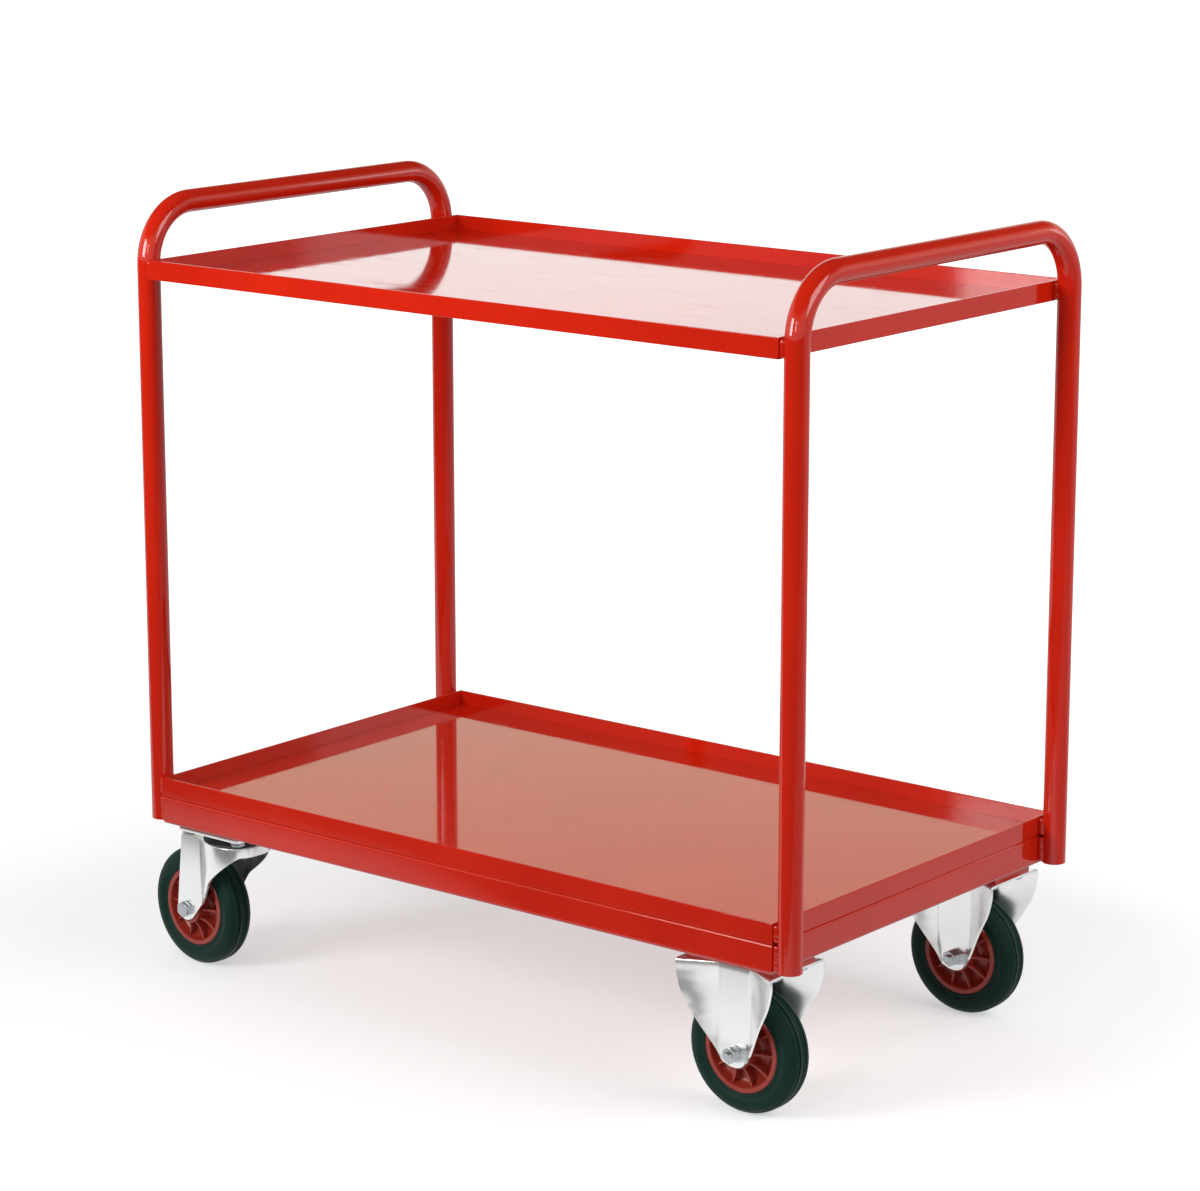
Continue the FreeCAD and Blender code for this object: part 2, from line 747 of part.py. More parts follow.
def swivel_balls(label, x, y):
    """Both rings of bearing balls of one swivel head."""
    rings = (
        ("ball_count", "ball_circle", "ball_diameter", BALL_DROP),
        ("lower_ball_count", "lower_ball_circle", "lower_ball_diameter", LOWER_BALL_DROP),
    )
    balls = []
    for count, circle_diameter, diameter, drop in rings:
        for number in range(round(value(count))):
            turn = f"(360 deg * {number} / {count})"
            ball = doc.addObject("Part::Sphere", "swivel_ball")
            bind(ball, Radius=f"{diameter} / 2")
            ball_x = f"{x} + {circle_diameter} / 2 * cos{turn}"
            ball_y = f"{y} + {circle_diameter} / 2 * sin{turn}"
            balls.append(place(ball, ball_x, ball_y, f"{SWIVEL_Z} - {drop}"))
    return node(group(label, balls), label)


# Axles and wheels, each modelled about its own middle with the axle along Y

RIM_RADIUS = "(wheel_diameter / 2 - tyre_thickness)"
RIM_INSIDE = f"({RIM_RADIUS} - rim_wall)"
TYRE_HALF = "(tread_flat / 2 + tread_round)"


def hexagon(made, across):
    """A hexagon about the sketch's middle, given across its flats."""
    corners = []
    for number in range(6):
        turn = f"({60 * number} deg)"
        corners.append((f"{across} / sqrt(3) * cos{turn}", f"{across} / sqrt(3) * sin{turn}"))
    polygon(made, corners)


def axle_bolt(label, x, y, turn):
    """The axle: its head behind the rear cheek, its thread out past the front cheek's nut."""
    body = new_body(label)
    shank = sketch(body, "XZ_Plane", f"-{CHEEK_OUT}")
    circle(shank, "0", "0", "axle_diameter / 2")
    pad(body, shank, f"2 * {CHEEK_OUT} + axle_nut_height + axle_tip")
    head = sketch(body, "XZ_Plane", f"-{CHEEK_OUT} - axle_head_height")
    hexagon(head, "axle_head_across")
    pad(body, head, "axle_head_height")
    place(body, x, y, AXLE_Z, f"-({turn})")
    return node(body, label)


def axle_nut(label, x, y, turn):
    """The nut on the axle's front end."""
    body = new_body(label)
    outline = sketch(body, "XZ_Plane", CHEEK_OUT)
    hexagon(outline, "axle_head_across")
    circle(outline, "0", "0", "axle_diameter / 2 + axle_clearance")
    pad(body, outline, "axle_nut_height")
    place(body, x, y, AXLE_Z, f"-({turn})")
    return node(body, label)


def axle_sleeve(label, x, y, turn):
    """The spacer tube between the cheeks, on which the bearing runs."""
    body = new_body(label)
    ring = sketch(body, "XZ_Plane")
    circle(ring, "0", "0", "sleeve_diameter / 2")
    circle(ring, "0", "0", "axle_diameter / 2 + axle_clearance")
    pad(body, ring, "hub_length", both_ways=True)
    place(body, x, y, AXLE_Z, f"-({turn})")
    return node(body, label)


def roller_cage(label, x, y, turn):
    """The roller bearing pressed into the wheel centre."""
    body = new_body(label)
    ring = sketch(body, "XZ_Plane")
    circle(ring, "0", "0", "bearing_diameter / 2 - bearing_clearance")
    circle(ring, "0", "0", "sleeve_diameter / 2 + bearing_clearance")
    pad(body, ring, "bearing_length", both_ways=True)
    place(body, x, y, AXLE_Z, f"-({turn})")
    return node(body, label)


def mirrored_profile(half):
    """A profile of radius and width closed by its mirror image across the wheel's middle."""
    return [(radius, f"-({width})") for radius, width in half] + list(reversed(half))


def wheel_centre(label, x, y, turn):
    """Moulded centre: a boss, a thin web, a rim, and ribs across both sides of the web."""
    boss = "boss_diameter / 2"
    body = new_body(label)
    half = [
        ("bearing_diameter / 2", "hub_length / 2 - boss_clearance"),
        (boss, "hub_length / 2 - boss_clearance"),
        (boss, "web_thickness / 2"),
        (RIM_INSIDE, "web_thickness / 2"),
        (RIM_INSIDE, "rim_width / 2"),
        (RIM_RADIUS, "rim_width / 2"),
    ]
    profile = sketch(body, "XY_Plane")
    polygon(profile, mirrored_profile(half))
    turn_about_y(body, profile)
    sunk = "rib_thickness / 2"
    rib_half = [
        (f"{boss} - {sunk}", "rib_boss_width / 2"),
        (f"{RIM_INSIDE} + {sunk}", "rib_rim_width / 2"),
    ]
    rib = sketch(body, "XY_Plane")
    polygon(rib, mirrored_profile(rib_half))
    blade = pad(body, rib, "rib_thickness", both_ways=True)
    doc.recompute()
    ribs = body.newObject("PartDesign::PolarPattern", label + "_ribs")
    ribs.Originals = [blade]
    ribs.Axis = (profile, ["V_Axis"])
    ribs.Angle = 360
    bind(ribs, Occurrences="rib_count")
    body.Tip = ribs
    place(body, x, y, AXLE_Z, f"-({turn})")
    return node(body, label)


def tyre(label, x, y, turn):
    """Solid rubber tyre: stepped sidewalls, rounded shoulders and a grooved tread."""
    bore = f"{RIM_RADIUS} + bearing_clearance"
    tread = "wheel_diameter / 2"
    wall_top = f"{tread} - tread_round - tyre_step"
    step_radius = f"{wall_top} - 3 * tyre_step"
    groove_near = "tread_groove_pitch / 2 - tread_groove_width / 2"
    groove_far = "tread_groove_pitch / 2 + tread_groove_width / 2"
    floor = f"{tread} - tread_groove_depth"
    body = new_body(label)
    half = [
        (bore, "tyre_foot_width / 2"),
        (step_radius, f"{TYRE_HALF} - tyre_step / 2"),
        (step_radius, f"{TYRE_HALF} - 2 * tyre_step"),
        (f"{step_radius} + tyre_step", f"{TYRE_HALF} - 2 * tyre_step"),
        (wall_top, TYRE_HALF),
        (tread, TYRE_HALF),
        (tread, groove_far),
        (floor, groove_far),
        (floor, groove_near),
        (tread, groove_near),
    ]
    profile = sketch(body, "XY_Plane")
    polygon(profile, mirrored_profile(half))
    turn_about_y(body, profile)

    def shoulder(edge):
        ring = edge.Curve
        if not isinstance(ring, Part.Circle):
            return False
        outermost = abs(ring.Radius - value(tread)) < SAME_SPOT
        return outermost and abs(abs(ring.Center.y) - value(TYRE_HALF)) < SAME_SPOT
    fillet(body, "tread_round", shoulder)
    place(body, x, y, AXLE_Z, f"-({turn})")
    return node(body, label)


# The trolley

for hoop_label, station in (("hoop_left", f"{FRAME_X} - {HOOP_X}"), ("hoop_right", f"{FRAME_X} + {HOOP_X}")):
    hoop(hoop_label, station)
tube_plugs("tube_plugs")
for tray, tray_level in (("top", TOP_Z), ("lower", LOWER_Z)):
    lip_frame(f"{tray}_lip", tray_level)
    deck(f"{tray}_deck", tray_level)
chassis_frame("chassis", CHASSIS_Z)

# Each row of castors by its side of the middle and how far its swivel castor stands turned at rest
ROWS = {"front": ("-1", "front_swivel_turn"), "rear": ("1", "0")}
STATIONS = [(SWIVEL_X, f"{side} * {SWIVEL_Y}", "swivel") for side, turn in ROWS.values()]
STATIONS += [(FIXED_X, f"{side} * {FIXED_Y}", "fixed") for side, turn in ROWS.values()]
packing_plates("packing_plates", STATIONS)
castor_bolts("castor_bolts", STATIONS)
for row_name, (side, turn) in ROWS.items():
    fixed_y = f"{side} * {FIXED_Y}"
    swivel_y = f"{side} * {SWIVEL_Y}"
    fixed_bracket(f"fixed_bracket_{row_name}", FIXED_X, fixed_y)
    for make in (swivel_plate, dust_seal, swivel_balls, king_pin, bearing_cap):
        make(f"{make.__name__}_{row_name}", SWIVEL_X, swivel_y)
    fork(f"fork_{row_name}", SWIVEL_X, swivel_y, turn)
    trailing_x = f"{SWIVEL_X} - swivel_trail * cos({turn} * 1 deg)"
    trailing_y = f"{swivel_y} + swivel_trail * sin({turn} * 1 deg)"
    wheels = {"left": (trailing_x, trailing_y, turn), "right": (FIXED_X, fixed_y, "0")}
    for end_name, (wheel_x, wheel_y, wheel_turn) in wheels.items():
        bolt_turn = f"{wheel_turn} + 180" if end_name == "left" else wheel_turn
        for make in (axle_bolt, axle_nut):
            make(f"{make.__name__}_{end_name}_{row_name}", wheel_x, wheel_y, bolt_turn)
        for make in (axle_sleeve, roller_cage, wheel_centre, tyre):
            make(f"{make.__name__}_{end_name}_{row_name}", wheel_x, wheel_y, wheel_turn)

doc.recompute()
for item in doc.Objects:
    if {"Invalid", "Error"} & set(item.State):
        raise RuntimeError(f"{item.Label} did not build")
for piece in NODES:
    if piece.Shape.isNull() or not piece.Shape.isValid() or not piece.Shape.Solids:
        raise RuntimeError(f"{piece.Label} has no valid solid")

os.makedirs("parts", exist_ok=True)
for piece in NODES:
    piece.Shape.exportStep(f"parts/{piece.Label}.step")
print(f"{len(NODES)} pieces written")
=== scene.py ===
import json
import math
import random

import bmesh
import bpy
from bpy.props import FloatProperty, FloatVectorProperty, IntProperty, PointerProperty
from mathutils import Matrix, Vector


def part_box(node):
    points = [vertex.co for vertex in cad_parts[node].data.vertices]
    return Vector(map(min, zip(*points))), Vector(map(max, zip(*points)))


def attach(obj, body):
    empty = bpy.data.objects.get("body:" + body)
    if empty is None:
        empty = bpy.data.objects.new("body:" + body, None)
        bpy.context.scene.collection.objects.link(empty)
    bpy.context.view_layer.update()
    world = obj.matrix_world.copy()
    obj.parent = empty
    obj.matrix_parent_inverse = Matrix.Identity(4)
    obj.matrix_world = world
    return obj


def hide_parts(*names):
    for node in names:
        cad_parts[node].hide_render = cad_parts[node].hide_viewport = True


bl_info = {
    "name": "Tray Trolley",
    "version": (1, 0, 0),
    "blender": (4, 5, 0),
    "location": "View3D > Sidebar > Trolley",
    "description": "Dresses the packed tray trolley with tubes, welds, castors, finishes and a studio",
    "category": "Object",
}

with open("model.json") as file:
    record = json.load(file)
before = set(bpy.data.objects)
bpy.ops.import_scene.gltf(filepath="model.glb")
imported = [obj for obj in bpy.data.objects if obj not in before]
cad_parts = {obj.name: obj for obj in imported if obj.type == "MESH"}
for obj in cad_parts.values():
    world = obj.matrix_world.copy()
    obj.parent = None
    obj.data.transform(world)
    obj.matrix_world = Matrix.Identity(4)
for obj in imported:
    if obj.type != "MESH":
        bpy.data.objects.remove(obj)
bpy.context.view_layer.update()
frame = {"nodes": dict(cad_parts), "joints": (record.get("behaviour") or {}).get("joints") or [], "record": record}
JOINTS = {joint["name"]: joint for joint in frame["joints"]}
ROWS = ("front", "rear")
ENDS = ("left", "right")
MM = 0.001
MERGE = 1e-6
CLOSE = 0.001
NEAR_LINE = 0.01
NEAR_CORNER = 0.05
CUT_SLACK = 0.0001
QUARTER = math.pi / 2
FULL = 2 * math.pi
SHARP = math.radians(60)
UP = (0, 0, 1)
AXLE = (0, 1, 0)

# Depths of the finishes' bump in metres
PAINT_PEEL = 0.000012
ZINC_GRAIN = 0.000002
STEEL_GRAIN = 0.000006
RUBBER_SKIN = 0.00004
PLASTIC_SKIN = 0.00003

# Tube feet, plugs and weld beads in metres
BEND_STEPS = 20
FOOT_LIP = 0.0004
FOOT_DEPTH = 0.016
PLUG_PLAY = 0.0001
PLUG_DISH = [(0.001, 0.0025), (0.006, 0.002), (0.0095, 0.0005)]
PLUG_RIM = [(-0.001, 0.0001), (0, 0.001), (0, 0.0145), (-0.001, 0.0155)]
PLUG_CROWN = [(0.001, 0.0155)]
BEAD_SEED = 7
BEAD_SHORT = 0.0015
BEAD_SINK = 0.0030
BEAD_OUTER, BEAD_INNER = 0.0093, 0.0108

# Weld ripples as shares of a bead's radius
BEAD_SIDES = 12
BEAD_WIDE = 1.2
BEAD_FIRST, BEAD_LAST = 0.35, 0.4
BEAD_CREST, BEAD_DIP = 1.05, 0.93
BEAD_VARY = (0.96, 1.04)
BEAD_TIP, BEAD_FILL = 0.8, 0.2
BEAD_SLIP = (0.03, 0.02)

# Castor outlines in millimetres from the middle of the castor plate's top, X along the trolley
PLATE_HALF = {"left": (56, 45), "right": (70, 55)}
PLATE_THICK = 4
PLATE_CORNER = 8
PLATE_EDGE = 0.6
BOSS = [(6.1, -3), (33, -3), (33, -12.2), (32.2, -13), (6.1, -13)]
SEAL = [
    (33.4, -4.4), (35.4, -4.4), (36.1, -5.6), (35.7, -11.5), (36.4, -13.6), (36.4, -15.1), (35.6, -15.6),
    (33.4, -15.6),
]
SHEET_THICK = 3
SHEET_SOFT = 0.5
CHEEK_OUT = 31
FOLD_ROUND = 4
FOLD_STEPS = 4
CHEEK_PLAN = [(-100, -70.3), (-23, -31), (23, -31), (100, -70.3)]
CREASE_X = 23
CREASE_ROUND = 1.2
CHEEK_SIDE = [(70, -15), (64, -39), (13, -129.5)]
CHEEK_ROUNDS = {(70, -15): 6, (64, -39): 8, (13, -129.5): 10.5}
CHEEK_CUTS = (16, 19, 22, 23.4, 25.4, *range(28, 62, 3))
CHEEK_SLITS = range(-127, -8, 3)
RIM_MERGE = 0.9
FLARE_START = ((-129.5, 11.5), (-110, 12), (-97, 16), (-81, 20), (-68, 22), (-36, 23))
FLARE_REACH = (
    (-129.5, 2), (-110, 3.6), (-97, 4.8), (-81, 6), (-68, 6.4), (-55, 5.2), (-42, 3.2), (-28, 1.2),
    (-14, 0),
)
FLARE_CURVE = 1.3
STEP_DEPTH = ((-115, 0), (-95, 0.9), (-30, 1.2), (-12, 0))
STEP_SHAPE = ((22.5, 0), (25, 1), (30, 0.8), (50, 0))
FORK_TOP = -16
FORK_PLAN = [(-75, -31), (-27, -31), (20, -46), (53, -26), (53, 26), (20, 46), (-27, 31), (-75, 31)]
FORK_BENDS = {53: (19, 8), 20: (18, 8), -27: (1.6, 4)}
GROOVE_X = -27
GROOVE_DEPTH = 0.9
FORK_REAR = [(-64, -16), (-75, -119), (-67, -134.5)]
FORK_FRONT = [(-50, -134.5), (-18.5, -97), (-5.5, -72), (46, -29), (80, -29)]
FORK_ROUNDS = {
    (-75, -119): 5, (-67, -134.5): 8.4, (-50, -134.5): 8.4, (-18.5, -97): 4, (-5.5, -72): 6,
    (46, -29): 5,
}

# Fasteners in millimetres, turned profiles as radius and height
TURN_STEPS = 32
RACE_STEPS = 64
BOLT_OUT = 16
BOLT_CORE = 0.2
BOLT_RADIUS = 5.95
BOLT_POINT = [(4.6, 0), (5.4, 0.9)]
THREADS = 9
THREAD_START = 1.0
THREAD_SHAPE = [(5.95, 0.3), (5.95, 0.5), (5.25, 0.9)]
SHANK_START = 19
HEAD_HEIGHT, HEAD_CHAMFER = 7.5, 1.0
NUT_HEIGHT, NUT_CHAMFER = 9.8, 1.2
NUT_MIDDLE = 6.1
NUT_WASHER = [(6.1, 1.5), (9.2, 1.5), (9.2, 0), (6.1, 0)]
SCREW_SPOT = {"left": (44, 33), "right": (52.5, 27)}
SCREW_REACH = {"left": 7, "right": 14}
SCREW_STEPS = 24
SCREW_HEIGHT, SCREW_CHAMFER = 4.8, 0.8
SCREW_DROP = 4
SCREW_EASE = 0.4
SCREW_CORE = 1
SCREW_WASHER = (10.5, -1.6, 0.0)
SCREW_SHANK = (5.0, -0.6)

# Wheel profiles in millimetres, as radius and half width
TYRE_HALF = [
    (53.1, 16.6), (53.6, 17.2), (55.4, 18.3), (57.2, 18.4), (57.9, 17.7), (58.8, 18.3), (62.5, 19.5),
    (66.0, 20.0), (70.2, 19.35), (71.0, 18.6), (71.8, 18.65), (73.0, 18.1), (75.9, 15.9), (77.0, 14.2),
    (77.1, 13.3), (78.2, 12.9), (79.3, 10.2), (79.8, 7.4), (78.5, 7.0), (78.5, 5.4), (79.95, 5.0),
    (79.95, 1.2), (79.6, 0.9), (79.6, 0.0),
]
CENTRE_HALF = [
    (14.0, 26.0), (15.0, 27.0), (19.6, 27.0), (20.6, 26.2), (21.6, 12.0), (23.2, 7.4), (26.5, 5.0),
    (35.0, 4.2), (40.5, 5.4), (44.2, 9.0), (45.6, 13.5), (46.2, 17.2), (47.0, 18.0), (52.2, 18.0),
    (53.0, 17.2),
]
RIB_SIDE = [
    (20.4, 5.0), (20.4, 21.0), (24.5, 18.6), (30.0, 16.2), (37.0, 14.6), (46.4, 14.0), (46.4, 8.0),
    (36.0, 3.4), (26.0, 3.4),
]
RIB_EDGE = 0.5

# Lamps by the setting of their power: name, place, aim, size, and tint and spread where they matter
LAMPS = {
    "key": ("Key softbox", (-0.8, -2.5, 1.62), (0.0, -0.2, 1.05), (1.2, 1.0), (1, 1, 1), 80),
    "strip": ("Strip softbox", (1.1, -3.3, 1.9), (0.1, 0.0, 0.8), (0.3, 0.8)),
    "side": ("Side softbox", (2.7, 0.3, 2.0), (0.5, 0.0, 0.8), (1.6, 1.2)),
    "rim": ("Rim softbox", (1.65, 2.6, 1.3), (-0.4, 0.0, 0.98), (0.5, 0.8)),
    "glow": ("Lit wall", (-7.5, 9.1, 2.68), (0.0, 0.0, 0.93), (5.0, 0.8), (0.82, 1.0, 0.95)),
}

# Ramps over floor and room: where a change starts and ends, then the values there if not 0 and 1
REACH_LEFT = (-0.25, -0.6, 0.0, 0.12)
REACH_RIGHT = (0.2, 0.35, 0.0, 0.25)
SHEET_EDGE = (-0.80, -0.70)
SHEET_REAR = (0.05, -0.15, 0.75, 1.0)
SHEET_RIGHT = (1.3, 0.95)
FAR_FLOOR = (0.9, 1.6, 0.0, 0.5)
PAPER_TONE = (0.3, 0.7, 0.49, 0.51)
PAPER_AHEAD = (0.0, 1.0, 1.0, 0.35)
PAPER_SEEN = (0.0, 1.0, 1.0, 1.5)
GLOW_AWAY = (0.75, 2.2, 0.51, 1.0)
WALL_START = (0.0, 0.45)
WALL_TOP = (0.5, 0.26)
WALL_WHITE = (0.0, 1.0, 0.08, 1.0)
FRONT_START = (0.25, 0.0)
FRONT_FOOT = (-0.2, -0.05)
FRONT_TOP = (0.6, 0.4)
WARM_START = (0.19, 0.26)

# The rest of floor, room and camera
FLOOR_HALF, FLOOR_CELLS = 30, 8
PAPER_GRAIN = 60.0
SHEET_WHITE = 0.93
FRONT_WHITE = 0.9
GLOW_TINT = (0.975, 1.0, 1.0, 1.0)
WARM_TINT = (1.0, 0.98, 0.76)
SENSOR_WIDTH = 36
EYE_REACH = 100
EYE_AWAY = (2.9828, -3.6867, 1.6208)
EYE_AIM = (-0.6129, 0.7577, -0.2239)


def length(title, words, metres):
    """A length that the sidebar can show."""
    return FloatProperty(
        name=title, description=words, default=metres, min=0, unit="LENGTH", precision=5)


def colour(title, words, rgb):
    """A finish colour in linear light."""
    return FloatVectorProperty(
        name=title, description=words, default=rgb, size=3, min=0, max=1, subtype="COLOR")


def share(title, words, amount):
    """A value from nought to one."""
    return FloatProperty(name=title, description=words, default=amount, min=0, max=1, subtype="FACTOR")


def count(title, words, number):
    """A whole number of like things."""
    return IntProperty(name=title, description=words, default=number, min=3)


def lamp_power(title, words, watts):
    """A lamp's power."""
    return FloatProperty(name=title, description=words, default=watts, min=0, unit="POWER")


class TrolleyFinishes(bpy.types.PropertyGroup):
    """Colours and gloss of the trolley's finishes."""
    paint: colour("Paint", "Gloss red stove enamel", (0.68, 0.019, 0.004))
    paint_deep: colour("Deep paint", "The paint where it lies thicker", (0.60, 0.014, 0.003))
    paint_gloss: share("Paint roughness", "Roughness of clean paint", 0.05)
    primer: colour("Primer", "Grey primer that shows in small chips", (0.16, 0.13, 0.12))
    zinc: colour("Zinc", "Bright zinc plating", (0.95, 0.955, 0.95))
    zinc_dull: colour("Dull zinc", "Zinc where the passivation is thicker", (0.90, 0.905, 0.90))
    bolt: colour("Bolt zinc", "Bluish zinc of nuts and bolts", (0.50, 0.54, 0.57))
    bolt_dull: colour("Dull bolt zinc", "Bolt zinc where it is rubbed", (0.34, 0.37, 0.39))
    bearing: colour("Bearing steel", "Ground bearing steel", (0.56, 0.56, 0.57))
    tyre: colour("Tyre", "Black rubber with a green cast", (0.003, 0.026, 0.020))
    tyre_dust: colour("Tyre dust", "Pale bloom on the rubber", (0.030, 0.056, 0.050))
    plastic: colour("Wheel plastic", "Brick red moulded plastic", (0.38, 0.042, 0.024))
    plastic_deep: colour("Deep plastic", "The plastic along its flow lines", (0.34, 0.026, 0.016))
    seal: colour("Seal", "Black rubber of the swivel seals", (0.012, 0.013, 0.013))
    plug: colour("Plug", "Black plastic of the tube plugs", (0.016, 0.016, 0.017))


class TrolleySizes(bpy.types.PropertyGroup):
    """Sizes of what is modelled here, in the frame's metres."""
    tube_wall: length("Tube wall", "Wall of the hoop tube, seen at its feet", 0.002)
    tube_bend: length("Tube bend", "Centre line radius of the hoop's bends", 0.075)
    tube_sides: count("Tube sides", "Facets round the tube", 48)
    bead_radius: length("Weld bead", "Radius of the weld beads", 0.0046)
    bead_pitch: length("Weld ripple", "Spacing of the ripples along a bead", 0.0032)
    wheel_steps: count("Wheel steps", "Facets round tyres and wheel centres", 96)
    rib_count: count("Ribs", "Ribs on each side of a wheel centre", 10)
    rib_thick: length("Rib thickness", "Thickness of a wheel rib", 0.0032)
    nut_across: length("Nut", "Axle nut across its flats", 0.019)
    thread_pitch: length("Thread pitch", "Pitch of the axle thread", 0.00175)
    screw_across: length("Castor screw", "Castor screw head across its flats", 0.017)


class TrolleyStudio(bpy.types.PropertyGroup):
    """Camera and light."""
    lens: FloatProperty(
        name="Lens", description="Focal length on a 36 mm sensor", default=113.67, unit="CAMERA")
    key: lamp_power("Key", "Power of the front softbox", 11.6)
    strip: lamp_power("Strip", "Power of the narrow front softbox", 9.0)
    side: lamp_power("Side", "Power of the softbox at the right end", 30.0)
    rim: lamp_power("Rim", "Power of the softbox behind on the right", 2.2)
    glow: lamp_power("Lit wall", "Power of the lit wall behind on the left", 7.0)
    sky: share("Room light", "Even light of the white room", 0.37)


class TrolleySettings(bpy.types.PropertyGroup):
    """Everything that the sidebar shows."""
    finishes: PointerProperty(type=TrolleyFinishes)
    sizes: PointerProperty(type=TrolleySizes)
    studio: PointerProperty(type=TrolleyStudio)


# Shader groups and finishes


def socket(items, name):
    """A node's socket by name, the enabled one where several share it."""
    return next(item for item in items if item.name == name and item.enabled)


def feed(tree, source, target):
    """Link a source to a socket, or set the socket where the source is a plain value."""
    if isinstance(source, bpy.types.NodeSocket):
        tree.links.new(source, target)
    else:
        target.default_value = source


def node(tree, kind, links=None, **settings):
    """Add a node, set its properties and plain sockets, and link the others."""
    made = tree.nodes.new(kind)
    for name, setting in settings.items():
        setattr(made, name, setting)
    for name, source in (links or {}).items():
        feed(tree, source, socket(made.inputs, name))
    return made


def out(made, name=None):
    """A node's output, the first where no name is given."""
    return socket(made.outputs, name) if name else made.outputs[0]


def shader_group(name, inputs, outputs):
    """An empty shader group with float inputs and outputs."""
    tree = bpy.data.node_groups.new(name, "ShaderNodeTree")
    kind = "NodeSocketFloat"
    for title, default in inputs.items():
        tree.interface.new_socket(title, in_out="INPUT", socket_type=kind).default_value = default
    for title in outputs:
        tree.interface.new_socket(title, in_out="OUTPUT", socket_type=kind)
    return tree, tree.nodes.new("NodeGroupInput"), tree.nodes.new("NodeGroupOutput")


def noise(tree, vector, scale, detail=3.0, rough=0.5):
    """A noise value on the given coordinates."""
    links = {"Vector": vector, "Scale": scale, "Detail": detail, "Roughness": rough}
    return out(node(tree, "ShaderNodeTexNoise", links), "Fac")


def ramp(tree, value, low, high, start=0.0, end=1.0):
    """Stretch a value from one range to another, held at the ends."""
    links = {"Value": value, "From Min": low, "From Max": high, "To Min": start, "To Max": end}
    return out(node(tree, "ShaderNodeMapRange", links), "Result")


def maths(tree, operation, first, second):
    """One sum."""
    made = node(tree, "ShaderNodeMath", operation=operation)
    for source, target in zip((first, second), made.inputs):
        feed(tree, source, target)
    return out(made)


def times(tree, first, second):
    """One value scaled by another."""
    return maths(tree, "MULTIPLY", first, second)


def mixed(tree, factor, first, second):
    """Blend two colours by a mask."""
    made = node(tree, "ShaderNodeMix", {"Factor": factor}, data_type="RGBA")
    for name, source in (("A", first), ("B", second)):
        linked = isinstance(source, bpy.types.NodeSocket)
        feed(tree, source if linked else (*source, 1), socket(made.inputs, name))
    return out(made, "Result")


def place_of(tree):
    """Where a point lies on the trolley."""
    return out(node(tree, "ShaderNodeTexCoord"), "Object")


def peel_group():
    """Height of a sprayed or moulded skin: fine peel over a broad, faint sag."""
    tree, given, result = shader_group(
        "Skin Peel", {"Peel Scale": 380.0, "Sag Scale": 9.0, "Sag": 8.0}, ["Height"])
    spot = place_of(tree)
    fine = noise(tree, spot, out(given, "Peel Scale"), 1.0)
    broad = times(tree, noise(tree, spot, out(given, "Sag Scale"), 0.0), out(given, "Sag"))
    tree.links.new(maths(tree, "ADD", fine, broad), result.inputs["Height"])
    return tree


def marks_group():
    """Masks of light use: a slow mottle, rubbed scuffs and tiny chips."""
    tree, given, result = shader_group(
        "Use Marks", {"Mottle Scale": 6.0, "Scuff Scale": 40.0, "Chip Scale": 22.0},
        ["Mottle", "Scuff", "Chip"])
    spot = place_of(tree)
    tree.links.new(noise(tree, spot, out(given, "Mottle Scale"), 4.0), result.inputs["Mottle"])
    drawn = node(tree, "ShaderNodeMapping",
                 {"Vector": spot, "Scale": (0.35, 1.0, 0.6), "Rotation": (0.3, 0.2, 0.5)})
    rubbed = noise(tree, out(drawn), out(given, "Scuff Scale"), 6.0, 0.7)
    tree.links.new(ramp(tree, rubbed, 0.52, 0.82), result.inputs["Scuff"])
    cells = node(tree, "ShaderNodeTexVoronoi", {"Vector": spot, "Scale": out(given, "Chip Scale")})
    shade = node(tree, "ShaderNodeSeparateColor", {"Color": out(cells, "Color")})
    near = ramp(tree, out(cells, "Distance"), 0.035, 0.022)
    rare = ramp(tree, out(shade, "Red"), 0.955, 0.96)
    tree.links.new(times(tree, near, rare), result.inputs["Chip"])
    return tree


def grain_group():
    """Height and mask of drawn metal: fine lines along one direction."""
    tree, given, result = shader_group(
        "Drawn Grain", {"Line Scale": 900.0, "Draw": 0.03}, ["Height", "Mask"])
    spot = place_of(tree)
    stretch = node(tree, "ShaderNodeCombineXYZ", {"X": 1.0, "Y": 1.0, "Z": out(given, "Draw")})
    drawn = node(tree, "ShaderNodeVectorMath", operation="MULTIPLY")
    tree.links.new(spot, drawn.inputs[0])
    tree.links.new(out(stretch), drawn.inputs[1])
    lines = noise(tree, out(drawn), out(given, "Line Scale"), 2.0)
    tree.links.new(lines, result.inputs["Height"])
    tree.links.new(ramp(tree, lines, 0.35, 0.7), result.inputs["Mask"])
    return tree


GROUPS = {}


def placed_group(tree, maker, **values):
    """Put a shared group, built once, into a material with its own values."""
    if maker not in GROUPS:
        GROUPS[maker] = maker()
    made = node(tree, "ShaderNodeGroup", node_tree=GROUPS[maker])
    for title, setting in values.items():
        made.inputs[title.replace("_", " ").title()].default_value = setting
    return made


def finish(name, **plain):
    """A new finish whose Principled shader has its plain values set."""
    made = bpy.data.materials.new(name)
    made.use_nodes = True
    shader = made.node_tree.nodes["Principled BSDF"]
    for title, setting in plain.items():
        shader.inputs[title.replace("_", " ")].default_value = setting
    return made, made.node_tree, shader


def dress(tree, shader, tone, gloss, height, depth):
    """Link a colour, a roughness and the height of a skin into a shader."""
    skin = node(tree, "ShaderNodeBump", {"Height": height, "Distance": depth, "Strength": 1.0})
    for title, source in (("Base Color", tone), ("Roughness", gloss), ("Normal", out(skin))):
        tree.links.new(source, shader.inputs[title])


